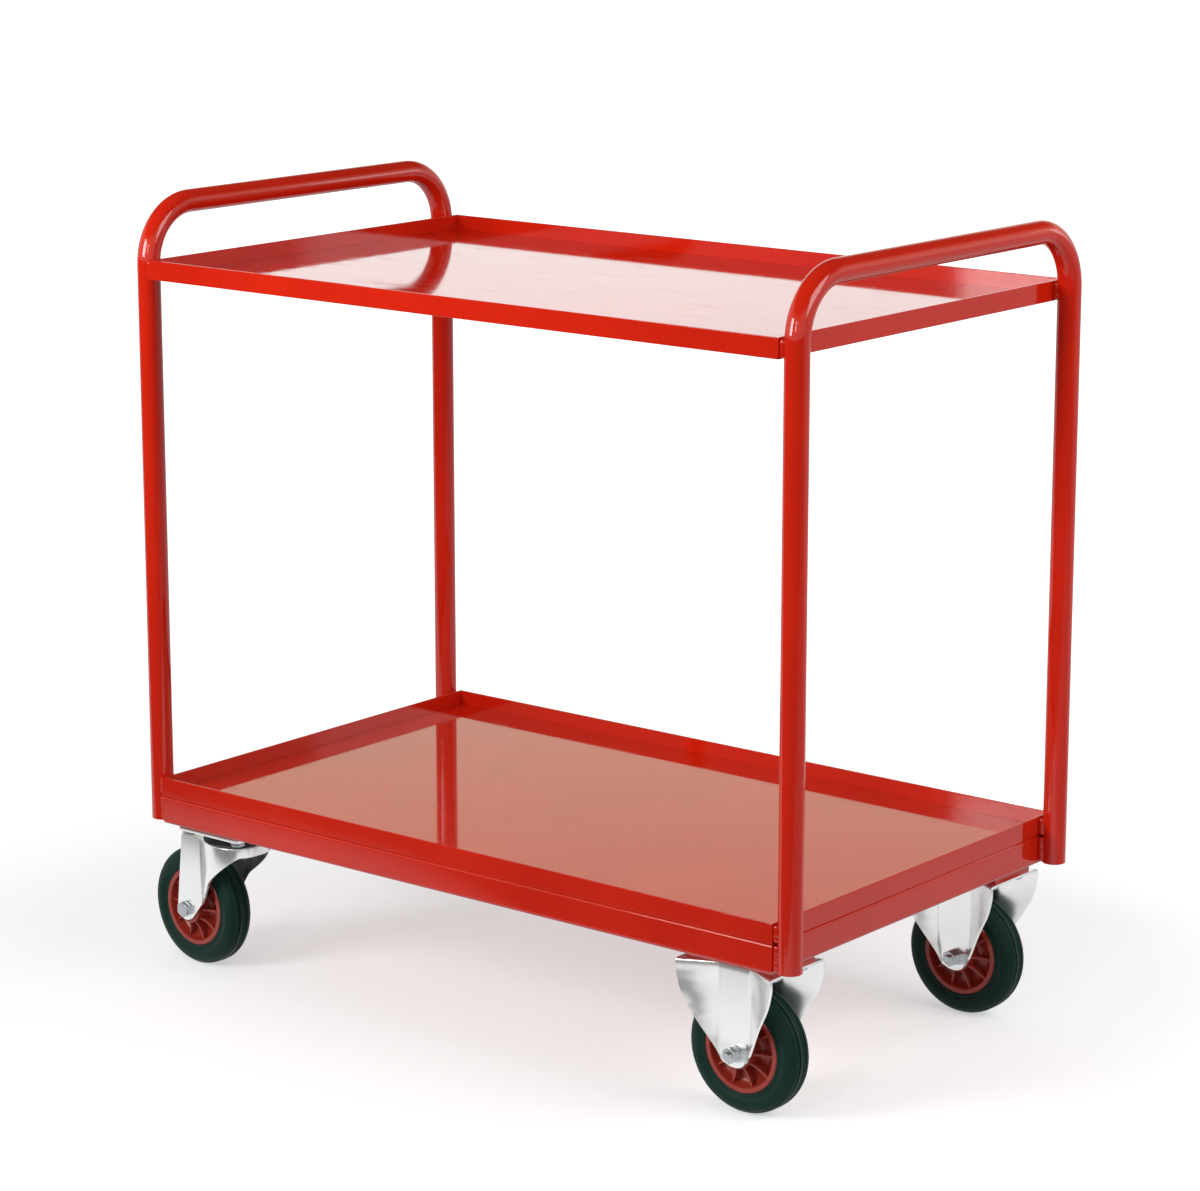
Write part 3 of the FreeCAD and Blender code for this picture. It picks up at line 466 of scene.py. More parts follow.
def paint_finish(name, chosen, sag, sag_scale, bend):
    """Gloss red enamel with orange peel, a faint mottle, rubbed patches and tiny chips."""
    made, tree, shader = finish(name, IOR=bend)
    marks = placed_group(tree, marks_group)
    peel = placed_group(tree, peel_group, sag=sag, sag_scale=sag_scale)
    body = mixed(tree, ramp(tree, out(marks, "Mottle"), 0.3, 0.7), chosen.paint_deep, chosen.paint)
    chipped = mixed(tree, out(marks, "Chip"), body, chosen.primer)
    clean = chosen.paint_gloss
    gloss = ramp(tree, out(marks, "Scuff"), 0.0, 1.0, clean, clean + 0.14)
    dull = maths(tree, "MAXIMUM", gloss, times(tree, out(marks, "Chip"), 0.6))
    dress(tree, shader, chipped, dull, out(peel, "Height"), PAINT_PEEL)
    return made


def zinc_finish(name, bright, dull, metal, smooth):
    """Zinc plating: clouded passivation, drawn lines and rubbed spots."""
    made, tree, shader = finish(name, Metallic=metal)
    marks = placed_group(tree, marks_group, mottle_scale=16.0, scuff_scale=90.0)
    grain = placed_group(tree, grain_group)
    tone = mixed(tree, ramp(tree, out(marks, "Mottle"), 0.35, 0.72), bright, dull)
    drawn = ramp(tree, out(grain, "Mask"), 0.0, 1.0, smooth, smooth + 0.015)
    gloss = maths(tree, "ADD", drawn, times(tree, out(marks, "Scuff"), 0.03))
    dress(tree, shader, tone, gloss, out(grain, "Height"), ZINC_GRAIN)
    return made


def bearing_finish(chosen):
    """Ground bearing steel."""
    made, tree, shader = finish("Bearing Steel", Metallic=1.0)
    grain = placed_group(tree, grain_group, line_scale=1600.0, draw=1.0)
    mask = out(grain, "Mask")
    tone = mixed(tree, mask, [0.8 * part for part in chosen.bearing], chosen.bearing)
    dress(tree, shader, tone, ramp(tree, mask, 0.0, 1.0, 0.22, 0.36), out(grain, "Height"), STEEL_GRAIN)
    return made


def rubber_finish(name, base, bloom, amount):
    """Moulded rubber: a pale bloom in patches over a fine skin."""
    made, tree, shader = finish(name, IOR=1.38, Specular_IOR_Level=0.2)
    marks = placed_group(tree, marks_group, mottle_scale=28.0, scuff_scale=120.0)
    peel = placed_group(tree, peel_group, peel_scale=1500.0, sag=1.0, sag_scale=160.0)
    patch = times(tree, ramp(tree, out(marks, "Mottle"), 0.42, 0.75), amount)
    both = maths(tree, "ADD", patch, times(tree, out(marks, "Scuff"), amount))
    gloss = ramp(tree, out(marks, "Mottle"), 0.3, 0.75, 0.42, 0.58)
    dress(tree, shader, mixed(tree, both, base, bloom), gloss, out(peel, "Height"), RUBBER_SKIN)
    return made


def plastic_finish(name, base, deep, low, high):
    """Moulded plastic with faint flow lines and a slightly uneven skin."""
    made, tree, shader = finish(name, IOR=1.48)
    marks = placed_group(tree, marks_group, mottle_scale=34.0, scuff_scale=150.0)
    peel = placed_group(tree, peel_group, peel_scale=900.0, sag=3.0, sag_scale=60.0)
    tone = mixed(tree, ramp(tree, out(marks, "Mottle"), 0.35, 0.7), deep, base)
    gloss = ramp(tree, out(marks, "Scuff"), 0.0, 1.0, low, high)
    dress(tree, shader, tone, gloss, out(peel, "Height"), PLASTIC_SKIN)
    return made


FINISHES = {}


def finish_for(slot):
    """The finish of a material slot, made once."""
    chosen = bpy.context.scene.trolley.finishes
    makers = {
        "red_paint": lambda: paint_finish("Red Enamel", chosen, 0.0, 9.0, 1.5),
        "deck_paint": lambda: paint_finish("Red Deck Enamel", chosen, 14.0, 5.0, 1.6),
        "zinc": lambda: zinc_finish("Bright Zinc", chosen.zinc, chosen.zinc_dull, 0.9, 0.2),
        "bolt_zinc": lambda: zinc_finish("Dull Zinc", chosen.bolt, chosen.bolt_dull, 0.9, 0.24),
        "bearing_steel": lambda: bearing_finish(chosen),
        "tyre": lambda: rubber_finish("Tyre Rubber", chosen.tyre, chosen.tyre_dust, 0.3),
        "black_rubber": lambda: rubber_finish("Seal Rubber", chosen.seal, chosen.tyre_dust, 0.25),
        "red_plastic": lambda: plastic_finish(
            "Wheel Plastic", chosen.plastic, chosen.plastic_deep, 0.24, 0.4),
        "black_plastic": lambda: plastic_finish("Plug Plastic", chosen.plug, chosen.seal, 0.4, 0.55),
    }
    if slot not in FINISHES:
        FINISHES[slot] = makers[slot]()
    return FINISHES[slot]


# Mesh helpers


def verts_of(items):
    """The vertices among mixed mesh elements."""
    return [item for item in items if isinstance(item, bmesh.types.BMVert)]


def edges_of(items):
    """The edges among mixed mesh elements."""
    return [item for item in items if isinstance(item, bmesh.types.BMEdge)]


def grow(bm, edges, move):
    """Extrude edges, shift the new ones and return them with their vertices."""
    made = bmesh.ops.extrude_edge_only(bm, edges=edges)["geom"]
    fresh = verts_of(made)
    bmesh.ops.translate(bm, verts=fresh, vec=move)
    known = set(fresh)
    return [edge for edge in edges_of(made) if set(edge.verts) <= known], fresh


def chain(bm, points, closed=False):
    """A run of edges through points."""
    made = [bm.verts.new(point) for point in points]
    ring = made + made[:1] if closed else made
    return made, [bm.edges.new(pair) for pair in zip(ring, ring[1:])]


def turned(bm, points, axis, steps):
    """Spin a closed profile of radius and height right round an axis."""
    along = Vector(axis)
    across = Vector((1, 0, 0))
    spots = [across * radius + along * height for radius, height in points]
    made, edges = chain(bm, spots, closed=True)
    bmesh.ops.spin(bm, geom=made + edges, cent=(0, 0, 0), axis=axis, angle=FULL, steps=steps,
                   use_merge=True)


def whole(bm):
    """All the elements of a bmesh."""
    return bm.verts[:] + bm.edges[:] + bm.faces[:]


def soften(bm, geom, offset, segments, affect="EDGES"):
    """Round edges, or the corners of a sheet's outline."""
    bmesh.ops.bevel(bm, geom=geom, offset=offset, offset_type="OFFSET", segments=segments, profile=0.5,
                    affect=affect, clamp_overlap=True, material=-1)


def sharp_edges(bm):
    """Edges that are folded sharply."""
    return [edge for edge in bm.edges if edge.is_manifold and edge.calc_face_angle(0) > SHARP]


def mesh_of(bm, name):
    """Turn a bmesh into a mesh."""
    mesh = bpy.data.meshes.new(name)
    bm.to_mesh(mesh)
    bm.free()
    return mesh


def shown(name, data):
    """A new object in the scene."""
    made = bpy.data.objects.new(name, data)
    bpy.context.scene.collection.objects.link(made)
    return made


def piece(bm, name, slot, body, nodes, matrix=None, smooth=40, outward=None):
    """Close a bmesh into a named piece that rides on a body and stands for CAD nodes."""
    bmesh.ops.remove_doubles(bm, verts=bm.verts, dist=MERGE)
    bmesh.ops.recalc_face_normals(bm, faces=bm.faces)
    if outward is not None and outward(bm):
        bmesh.ops.reverse_faces(bm, faces=bm.faces)
    if matrix is not None:
        bmesh.ops.transform(bm, matrix=matrix, verts=bm.verts)
    for face in bm.faces:
        face.smooth = True
    for edge in bm.edges:
        edge.smooth = edge.calc_face_angle(0) < math.radians(smooth)
    mesh = mesh_of(bm, name)
    if not mesh.polygons:
        raise RuntimeError(f"{name} came out empty")
    mesh.materials.append(finish_for(slot))
    made = shown(name, mesh)
    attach(made, body)
    if nodes:
        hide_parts(*nodes)
    return made


def sheet_metal(made):
    """Give a pressed skin its thickness inwards and soft edges."""
    wall = made.modifiers.new("Sheet", "SOLIDIFY")
    wall.thickness = SHEET_THICK * MM
    wall.offset = -1
    wall.use_even_offset = True
    soft = made.modifiers.new("Soft edges", "BEVEL")
    soft.width = SHEET_SOFT * MM
    soft.segments = 2
    soft.limit_method = "ANGLE"
    soft.angle_limit = math.radians(50)
    soft.harden_normals = True


def tube_of(end):
    """The box of a hoop's tube, its middle along X and its radius."""
    low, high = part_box(f"hoop_{end}")
    return low, high, (low.x + high.x) / 2, (high.x - low.x) / 2


def joint_place(name):
    """A joint's point, and how far its castor stands turned at rest."""
    joint = JOINTS[name]
    return Vector(joint["pos_m"]), math.atan2(joint["axis"][0], joint["axis"][1])


def fork_place(row):
    """Matrix from a fork's own millimetres to the trolley, seen from its plate's top."""
    turn = joint_place(f"wheel_left_{row}_spin")[1]
    return plate_place("left", row) @ Matrix.Rotation(-turn, 4, "Z")


def plate_place(end, row):
    """Matrix from a castor plate's own millimetres to the trolley: the plate never turns."""
    spot = Vector(JOINTS[f"swivel_{row}_turn" if end == "left" else f"wheel_right_{row}_spin"]["pos_m"])
    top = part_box(f"swivel_plate_{row}" if end == "left" else f"fixed_bracket_{row}")[1].z
    return Matrix.Translation((spot.x, spot.y, top)) @ Matrix.Scale(MM, 4)


def wheel_place(end, row):
    """Matrix from a wheel's own millimetres to the trolley, its axle along Y."""
    spot, turn = joint_place(f"wheel_{end}_{row}_spin")
    return Matrix.Translation(spot) @ Matrix.Rotation(-turn, 4, "Z") @ Matrix.Scale(MM, 4)


class TrolleyOperator(bpy.types.Operator):
    """What the trolley's operators share."""
    bl_idname = "trolley.base"
    bl_label = "Trolley step"
    bl_options = {"REGISTER", "UNDO"}

    @property
    def sizes(self):
        """The trolley's sizes."""
        return bpy.context.scene.trolley.sizes


class TROLLEY_OT_frame_finish(TrolleyOperator):
    """Put the finishes on the CAD pieces that stay as they are."""
    bl_idname = "trolley.frame_finish"
    bl_label = "Finish the frame"

    def execute(self, context):
        """Give every CAD node the finish of its slot."""
        for part in frame["record"]["subparts"]:
            name = part["node"]
            slot = "deck_paint" if name.endswith("_deck") else part["material_slot"]
            mesh = frame["nodes"][name].data
            mesh.materials.clear()
            mesh.materials.append(finish_for(slot))
        return {"FINISHED"}


class TROLLEY_OT_hoops(TrolleyOperator):
    """Bend the two end hoops from round tube."""
    bl_idname = "trolley.hoops"
    bl_label = "End hoops"

    def execute(self, context):
        """Run a ring of edges up, over both bends and down, then close the feet."""
        for end in ENDS:
            self.hoop(end)
        return {"FINISHED"}

    def hoop(self, end):
        """One hoop inside the box of its CAD tube."""
        low, high, middle, radius = tube_of(end)
        bend = self.sizes.tube_bend
        near = low.y + radius
        top = high.z - radius
        rise = top - bend - low.z - FOOT_LIP
        bm = bmesh.new()
        foot = Matrix.Translation((middle, near, low.z + FOOT_LIP))
        bmesh.ops.create_circle(bm, segments=self.sizes.tube_sides, radius=radius, matrix=foot)
        first = list(bm.edges)
        edges, fresh = grow(bm, first, (0, 0, rise))
        edges, fresh = self.bend(bm, edges, fresh, (middle, near + bend, top - bend))
        edges, fresh = grow(bm, edges, (0, -2 * (near + bend), 0))
        edges = self.bend(bm, edges, fresh, (middle, -near - bend, top - bend))[0]
        last = grow(bm, edges, (0, 0, -rise))[0]
        for edges, y in ((first, near), (last, -near)):
            self.foot(bm, edges, Vector((middle, y, low.z)), radius)
        piece(bm, f"tube_hoop_{end}", "red_paint", "frame", [f"hoop_{end}"])

    def bend(self, bm, edges, fresh, centre):
        """Turn the open end of the tube through a right angle."""
        made = bmesh.ops.spin(bm, geom=fresh + edges, cent=centre, axis=(-1, 0, 0), angle=QUARTER,
                              steps=BEND_STEPS)
        return edges_of(made["geom_last"]), verts_of(made["geom_last"])

    def foot(self, bm, edges, middle, radius):
        """Round the cut end of a tube and turn its wall in as far as the plug."""
        inside = 1 - self.sizes.tube_wall / radius
        ease = FOOT_LIP / radius
        turns = ((1 - ease, -FOOT_LIP), (inside + ease, 0), (inside, FOOT_LIP), (inside, FOOT_DEPTH))
        for scale, rise in turns:
            edges, fresh = grow(bm, edges, (0, 0, rise))
            wanted = scale * radius / (fresh[0].co - middle).xy.length
            stretch = Matrix.Diagonal((wanted, wanted, 1, 1))
            bmesh.ops.transform(bm, matrix=stretch, space=Matrix.Translation(-middle), verts=fresh)
        bmesh.ops.edgeloop_fill(bm, edges=edges)


class TROLLEY_OT_plugs(TrolleyOperator):
    """Plug the tubes' feet."""
    bl_idname = "trolley.plugs"
    bl_label = "Foot plugs"

    def execute(self, context):
        """Turn one domed plug and set it into each of the four feet."""
        bm = bmesh.new()
        for end in ENDS:
            low, high, middle, radius = tube_of(end)
            for y in (low.y + radius, high.y - radius):
                self.plug(bm, Vector((middle, y, low.z)), radius - self.sizes.tube_wall)
        piece(bm, "foot_plugs", "black_plastic", "frame", ["tube_plugs"])
        return {"FINISHED"}

    def plug(self, bm, foot, bore):
        """One plug, dished underneath."""
        body = bmesh.new()
        radius = bore - PLUG_PLAY
        rim = [(radius + inset, height) for inset, height in PLUG_RIM]
        turned(body, PLUG_DISH + rim + PLUG_CROWN, UP, TURN_STEPS)
        bmesh.ops.holes_fill(body, edges=body.edges)
        joined(bm, body, Matrix.Translation(foot))


def joined(bm, extra, matrix=Matrix()):
    """Add one bmesh to another, set in its place."""
    bmesh.ops.transform(extra, matrix=matrix, verts=extra.verts)
    mesh = mesh_of(extra, "joined")
    bm.from_mesh(mesh)
    bpy.data.meshes.remove(mesh)


class TROLLEY_OT_welds(TrolleyOperator):
    """Lay the weld beads that hold trays and chassis to the tubes."""
    bl_idname = "trolley.welds"
    bl_label = "Weld beads"

    def execute(self, context):
        """Run a rippled bead up both sides of each tube at each level."""
        draw = random.Random(BEAD_SEED)
        levels = {
            "top": [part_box("top_lip_left")],
            "lower": [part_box("lower_lip_left"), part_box("chassis_left")],
        }
        for end in ENDS:
            low, high, middle, radius = tube_of(end)
            inwards = 1 if end == "left" else -1
            x = middle + inwards * (radius - BEAD_SINK)
            for name, boxes in levels.items():
                bm = bmesh.new()
                for bottom, top in boxes:
                    start = max(bottom.z, low.z) + BEAD_SHORT
                    for y in (low.y + radius, high.y - radius):
                        for side in (-1, 1):
                            apart = BEAD_OUTER if side * y > 0 else BEAD_INNER
                            spot = Vector((x, y + side * apart, start))
                            self.bead(bm, spot, top.z - BEAD_SHORT - start, draw)
                piece(bm, f"weld_beads_{name}_{end}", "red_paint", "frame", [], smooth=80)
        return {"FINISHED"}

    def bead(self, bm, spot, height, draw):
        """One bead of overlapping ripples, tapered at its ends."""
        radius = self.sizes.bead_radius
        steps = max(3, round(height / self.sizes.bead_pitch)) * 2
        base = Matrix.Translation(spot) @ Matrix.Diagonal((BEAD_WIDE, 1, 1, 1))
        ring = bmesh.ops.create_circle(
            bm, cap_ends=True, segments=BEAD_SIDES, radius=radius * BEAD_FIRST, matrix=base)["verts"]
        edges = list(dict.fromkeys(edge for vert in ring for edge in vert.link_edges))
        before = BEAD_FIRST
        for step in range(1, steps + 1):
            end = min(step, steps - step) / 2
            swell = (BEAD_CREST if step % 2 else BEAD_DIP) * draw.uniform(*BEAD_VARY)
            now = BEAD_LAST if step == steps else swell * min(1, BEAD_TIP + BEAD_FILL * end)
            edges, fresh = grow(bm, edges, (0, 0, height / steps))
            middle = sum((vert.co for vert in fresh), Vector()) / len(fresh)
            stretch = Matrix.Diagonal((now / before, now / before, 1, 1))
            bmesh.ops.transform(bm, matrix=stretch, space=Matrix.Translation(-middle), verts=fresh)
            slip = [draw.uniform(-1, 1) * radius * part for part in BEAD_SLIP]
            bmesh.ops.translate(bm, verts=fresh, vec=(*slip, 0))
            before = now
        bmesh.ops.edgeloop_fill(bm, edges=edges)


class TROLLEY_OT_fixed_brackets(TrolleyOperator):
    """Press the fixed castors' brackets from one sheet."""
    bl_idname = "trolley.fixed_brackets"
    bl_label = "Fixed brackets"

    def execute(self, context):
        """Fold two waisted cheeks down from a plate, once for each row."""
        for row in ROWS:
            made = piece(self.skin(), f"castor_bracket_{row}", "zinc", "frame", [f"fixed_bracket_{row}"],
                         plate_place("right", row), outward=faces_inwards)
            sheet_metal(made)
        return {"FINISHED"}

    def skin(self):
        """The bracket's outer skin in millimetres."""
        bm = bmesh.new()
        top = chain(bm, [(x, y, 0) for x, y in CHEEK_PLAN])[1]
        grow(bm, top, (0, 0, CHEEK_SIDE[-1][1]))
        soften(bm, uprights_at(bm, -CREASE_X, CREASE_X), CREASE_ROUND, 2)
        rim = edges_at(bm, 0)
        fresh = grow(bm, rim, (0, 0, 0))[1]
        bmesh.ops.scale(bm, vec=(1, 0, 1), verts=fresh)
        flat = dict.fromkeys(face for vert in fresh for face in vert.link_faces)
        bmesh.ops.dissolve_faces(bm, faces=list(flat))
        soften(bm, rim, FOLD_ROUND, FOLD_STEPS)
        for side in (-1, 1):
            slit(bm, (side * PLATE_HALF["right"][0], 0, 0), (side, 0, 0), clear=True)
            spots = [(side * x, z) for x, z in CHEEK_SIDE]
            for (x0, z0), (x1, z1) in zip(spots, spots[1:]):
                slit(bm, (x0, 0, z0), (side * (z0 - z1), 0, side * (x1 - x0)), clear=True)
        for (x, z), offset in CHEEK_ROUNDS.items():
            for side in (-1, 1):
                soften(bm, outline_corners(bm, side * x, z), offset, 6, "VERTICES")
        self.press(bm)
        bmesh.ops.mirror(bm, geom=whole(bm), merge_dist=CLOSE, axis="Y")
        return bm

    def press(self, bm):
        """Press the step beside each crease and flare the cheek's sloping edges."""
        for x in CHEEK_CUTS:
            for side in (-1, 1):
                slit(bm, (side * x, 0, 0), (1, 0, 0))
        for z in CHEEK_SLITS:
            slit(bm, (0, 0, z), UP)
        rim = [vert for vert in bm.verts if vert.is_boundary]
        bmesh.ops.remove_doubles(bm, verts=rim, dist=RIM_MERGE)
        (brow_x, brow_z), (end_x, end_z) = CHEEK_SIDE[1:]
        sides = ((end_z, end_x), (brow_z, brow_x), (0, PLATE_HALF["right"][0]))
        for vert in bm.verts:
            x, z = abs(vert.co.x), vert.co.z
            start = level(FLARE_START, z)
            near = min(1, max(0, x - start) / (level(sides, z) - start))
            flare = level(FLARE_REACH, z) * near ** FLARE_CURVE
            step = level(STEP_DEPTH, z) * level(STEP_SHAPE, x)
            bmesh.ops.translate(bm, verts=[vert], vec=(0, -(flare - step), 0))


def upright(edge):
    """Whether an edge stands along Z."""
    return (edge.verts[0].co - edge.verts[1].co).xy.length < CLOSE


def uprights_at(bm, *places):
    """The upright edges at some places along X."""
    return [edge for edge in bm.edges if upright(edge)
            and any(abs(edge.verts[0].co.x - x) < NEAR_LINE for x in places)]


def edges_at(bm, z):
    """The edges that lie at a height."""
    return [edge for edge in bm.edges if all(abs(vert.co.z - z) < CLOSE for vert in edge.verts)]


def slit(bm, point, across, clear=False):
    """Cut edges along a plane, and keep or clear what lies beyond it."""
    bmesh.ops.bisect_plane(bm, geom=whole(bm), dist=CUT_SLACK, plane_co=point, plane_no=across,
                           clear_outer=clear)


def level(points, at):
    """Read a value off a run of points, held at its ends."""
    for (low, first), (high, last) in zip(points, points[1:]):
        if at < high:
            return first + (last - first) * max(0, (at - low) / (high - low))
    return points[-1][1]


def outline_corners(bm, x, z):
    """Corners of a sheet's outline at a place seen from the side."""
    rim = [vert for vert in bm.verts if vert.is_boundary]
    return [vert for vert in rim if math.dist((vert.co.x, vert.co.z), (x, z)) < NEAR_CORNER]


def faces_inwards(bm):
    """Whether a bracket's skin is inside out: its topmost face should look up."""
    top = max(bm.faces, key=lambda face: (round(face.calc_center_median().z, 3), face.calc_area()))
    return top.normal.z < 0


class TROLLEY_OT_forks(TrolleyOperator):
    """Press the swivel castors' forks."""
    bl_idname = "trolley.forks"
    bl_label = "Swivel forks"

    def execute(self, context):
        """Fold a skirt round each crown and sweep its cheeks back to the axle."""
        for row in ROWS:
            made = piece(self.skin(), f"castor_fork_{row}", "zinc", f"swivel_{row}", [f"fork_{row}"],
                         fork_place(row), outward=faces_inwards)
            sheet_metal(made)
        return {"FINISHED"}

    def skin(self):
        """The fork's outer skin in millimetres."""
        bm = bmesh.new()
        top = chain(bm, [(x, y, FORK_TOP) for x, y in FORK_PLAN])[1]
        grow(bm, top, (0, 0, FORK_REAR[-1][1] - FORK_TOP))
        for x, (offset, segments) in FORK_BENDS.items():
            soften(bm, uprights_at(bm, x), offset, segments)
        for vert in bm.verts:
            if abs(vert.co.x - GROOVE_X) < 1:
                inwards = math.copysign(GROOVE_DEPTH, -vert.co.y)
                bmesh.ops.translate(bm, verts=[vert], vec=(0, inwards, 0))
        for line, clear in ((FORK_REAR, True), (FORK_FRONT, False)):
            for (x0, z0), (x1, z1) in zip(line, line[1:]):
                slit(bm, (x0, 0, z0), (z1 - z0, 0, x0 - x1), clear)
        waste = [face for face in bm.faces if below_sweep(face.calc_center_median())]
        bmesh.ops.delete(bm, geom=waste, context="FACES")
        bmesh.ops.dissolve_limit(bm, angle_limit=math.radians(0.2), verts=bm.verts, edges=bm.edges)
        for (x, z), offset in FORK_ROUNDS.items():
            soften(bm, outline_corners(bm, x, z), offset, 5, "VERTICES")
        rim = edges_at(bm, FORK_TOP)
        ends = [vert for edge in rim for vert in edge.verts]
        rear = bm.edges.new([vert for vert in ends if ends.count(vert) == 1])
        bmesh.ops.edgeloop_fill(bm, edges=rim + [rear])
        soften(bm, rim, FOLD_ROUND, FOLD_STEPS)
        return bm


def below_sweep(point):
    """Whether a point lies under the fork's swept front edge."""
    for (x0, z0), (x1, z1) in zip(FORK_FRONT, FORK_FRONT[1:]):
        if x0 <= point.x <= x1:
            return point.z < z0 + (z1 - z0) * (point.x - x0) / (x1 - x0)
    return False


class TROLLEY_OT_swivel_heads(TrolleyOperator):
    """Make the swivel castors' plates and rubber seals."""
    bl_idname = "trolley.swivel_heads"
    bl_label = "Swivel heads"

    def execute(self, context):
        """A rounded plate with its race boss, and a lipped seal round the boss."""
        for row in ROWS:
            spot = plate_place("left", row)
            piece(self.plate(), f"castor_plate_{row}", "zinc", "frame", [f"swivel_plate_{row}"], spot,
                  smooth=50)
            seal = bmesh.new()
            turned(seal, SEAL, UP, RACE_STEPS)
            piece(seal, f"swivel_seal_{row}", "black_rubber", "frame", [f"dust_seal_{row}"], spot,
                  smooth=50)
        return {"FINISHED"}

    def plate(self):
        """The top plate and the boss under it, in millimetres."""
        bm = bmesh.new()
        half_x, half_y = PLATE_HALF["left"]
        size = Matrix.Diagonal((2 * half_x, 2 * half_y, PLATE_THICK, 1))
        bmesh.ops.create_cube(bm, size=1, matrix=Matrix.Translation((0, 0, -PLATE_THICK / 2)) @ size)
        soften(bm, [edge for edge in bm.edges if upright(edge)], PLATE_CORNER, 6)
        soften(bm, sharp_edges(bm), PLATE_EDGE, 2)
        boss = bmesh.new()
        turned(boss, BOSS, UP, RACE_STEPS)
        joined(bm, boss)
        return bm


class TROLLEY_OT_fasteners(TrolleyOperator):
    """Turn the axle bolts and nuts and the castor screws."""
    bl_idname = "trolley.fasteners"
    bl_label = "Fasteners"

    def execute(self, context):
        """Bolts and nuts for four axles, and four screws under each castor plate."""
        for row in ROWS:
            for end in ENDS:
                body = "frame" if end == "right" else f"swivel_{row}"
                spot = wheel_place(end, row)
                if end == "left":
                    spot = spot @ Matrix.Rotation(math.pi, 4, "Z")
                piece(self.bolt(), f"axle_screw_{end}_{row}", "bolt_zinc", body,
                      [f"axle_bolt_{end}_{row}"], spot)
                piece(self.nut(), f"axle_hex_{end}_{row}", "bolt_zinc", body,
                      [f"axle_nut_{end}_{row}"], spot)
        bm = bmesh.new()
        for end in ENDS:
            for row in ROWS:
                x, y = SCREW_SPOT[end]
                for spot in ((-x, -y), (-x, y), (x, -y), (x, y)):
                    under = plate_place(end, row) @ Matrix.Translation((*spot, -PLATE_THICK))
                    self.screw(bm, under, SCREW_REACH[end])
        piece(bm, "castor_screws", "bolt_zinc", "frame", ["castor_bolts"])
        return {"FINISHED"}

    def hexagon(self, bm, across, height, matrix, chamfer):
        """A six-sided head whose rim is chamfered."""
        made = bmesh.new()
        radius = across / math.sqrt(3)
        bmesh.ops.create_cone(
            made, cap_ends=True, segments=6, radius1=radius, radius2=radius, depth=height)
        rim = [edge for edge in made.edges if abs(edge.verts[0].co.z - edge.verts[1].co.z) < CLOSE]
        soften(made, rim, chamfer, 3)
        soften(made, [edge for edge in made.edges if upright(edge)], chamfer / 3, 2)
        joined(bm, made, matrix)

    def bolt(self):
        """An axle bolt along Y: head behind, threaded tip in front."""
        bm = bmesh.new()
        pitch = self.sizes.thread_pitch / MM
        tip = -(CHEEK_OUT + BOLT_OUT)
        head = CHEEK_OUT + 1
        profile = [(BOLT_CORE, tip)] + [(radius, tip + rise) for radius, rise in BOLT_POINT]
        for turn in range(THREADS):
            start = tip + THREAD_START + turn * pitch
            profile += [(radius, start + pitch * part) for radius, part in THREAD_SHAPE]
        profile += [(BOLT_RADIUS, tip + SHANK_START), (BOLT_RADIUS, head), (BOLT_CORE, head)]
        turned(bm, profile, AXLE, TURN_STEPS)
        lay = Matrix.Translation((0, CHEEK_OUT + HEAD_HEIGHT / 2, 0)) @ Matrix.Rotation(QUARTER, 4, "X")
        self.hexagon(bm, self.sizes.nut_across / MM, HEAD_HEIGHT, lay, HEAD_CHAMFER)
        return bm

    def nut(self):
        """The nut in front of the near cheek, on a thin washer face."""
        bm = bmesh.new()
        lay = Matrix.Translation((0, -CHEEK_OUT - NUT_MIDDLE, 0)) @ Matrix.Rotation(QUARTER, 4, "X")
        self.hexagon(bm, self.sizes.nut_across / MM, NUT_HEIGHT, lay, NUT_CHAMFER)
        turned(bm, [(radius, -CHEEK_OUT - out_by) for radius, out_by in NUT_WASHER], AXLE, TURN_STEPS)
        return bm

    def screw(self, bm, matrix, reach):
        """One castor screw hanging from its plate: washer, head and shank."""
        under = matrix @ Matrix.Translation((0, 0, -SCREW_DROP))
        self.hexagon(bm, self.sizes.screw_across / MM, SCREW_HEIGHT, under, SCREW_CHAMFER)
        for radius, low, high in (SCREW_WASHER, (*SCREW_SHANK, reach)):
            made = bmesh.new()
            profile = [(SCREW_CORE, low), (radius - SCREW_EASE, low), (radius, low + SCREW_EASE),
                       (radius, high), (SCREW_CORE, high)]
            turned(made, profile, UP, SCREW_STEPS)
            joined(bm, made, matrix)


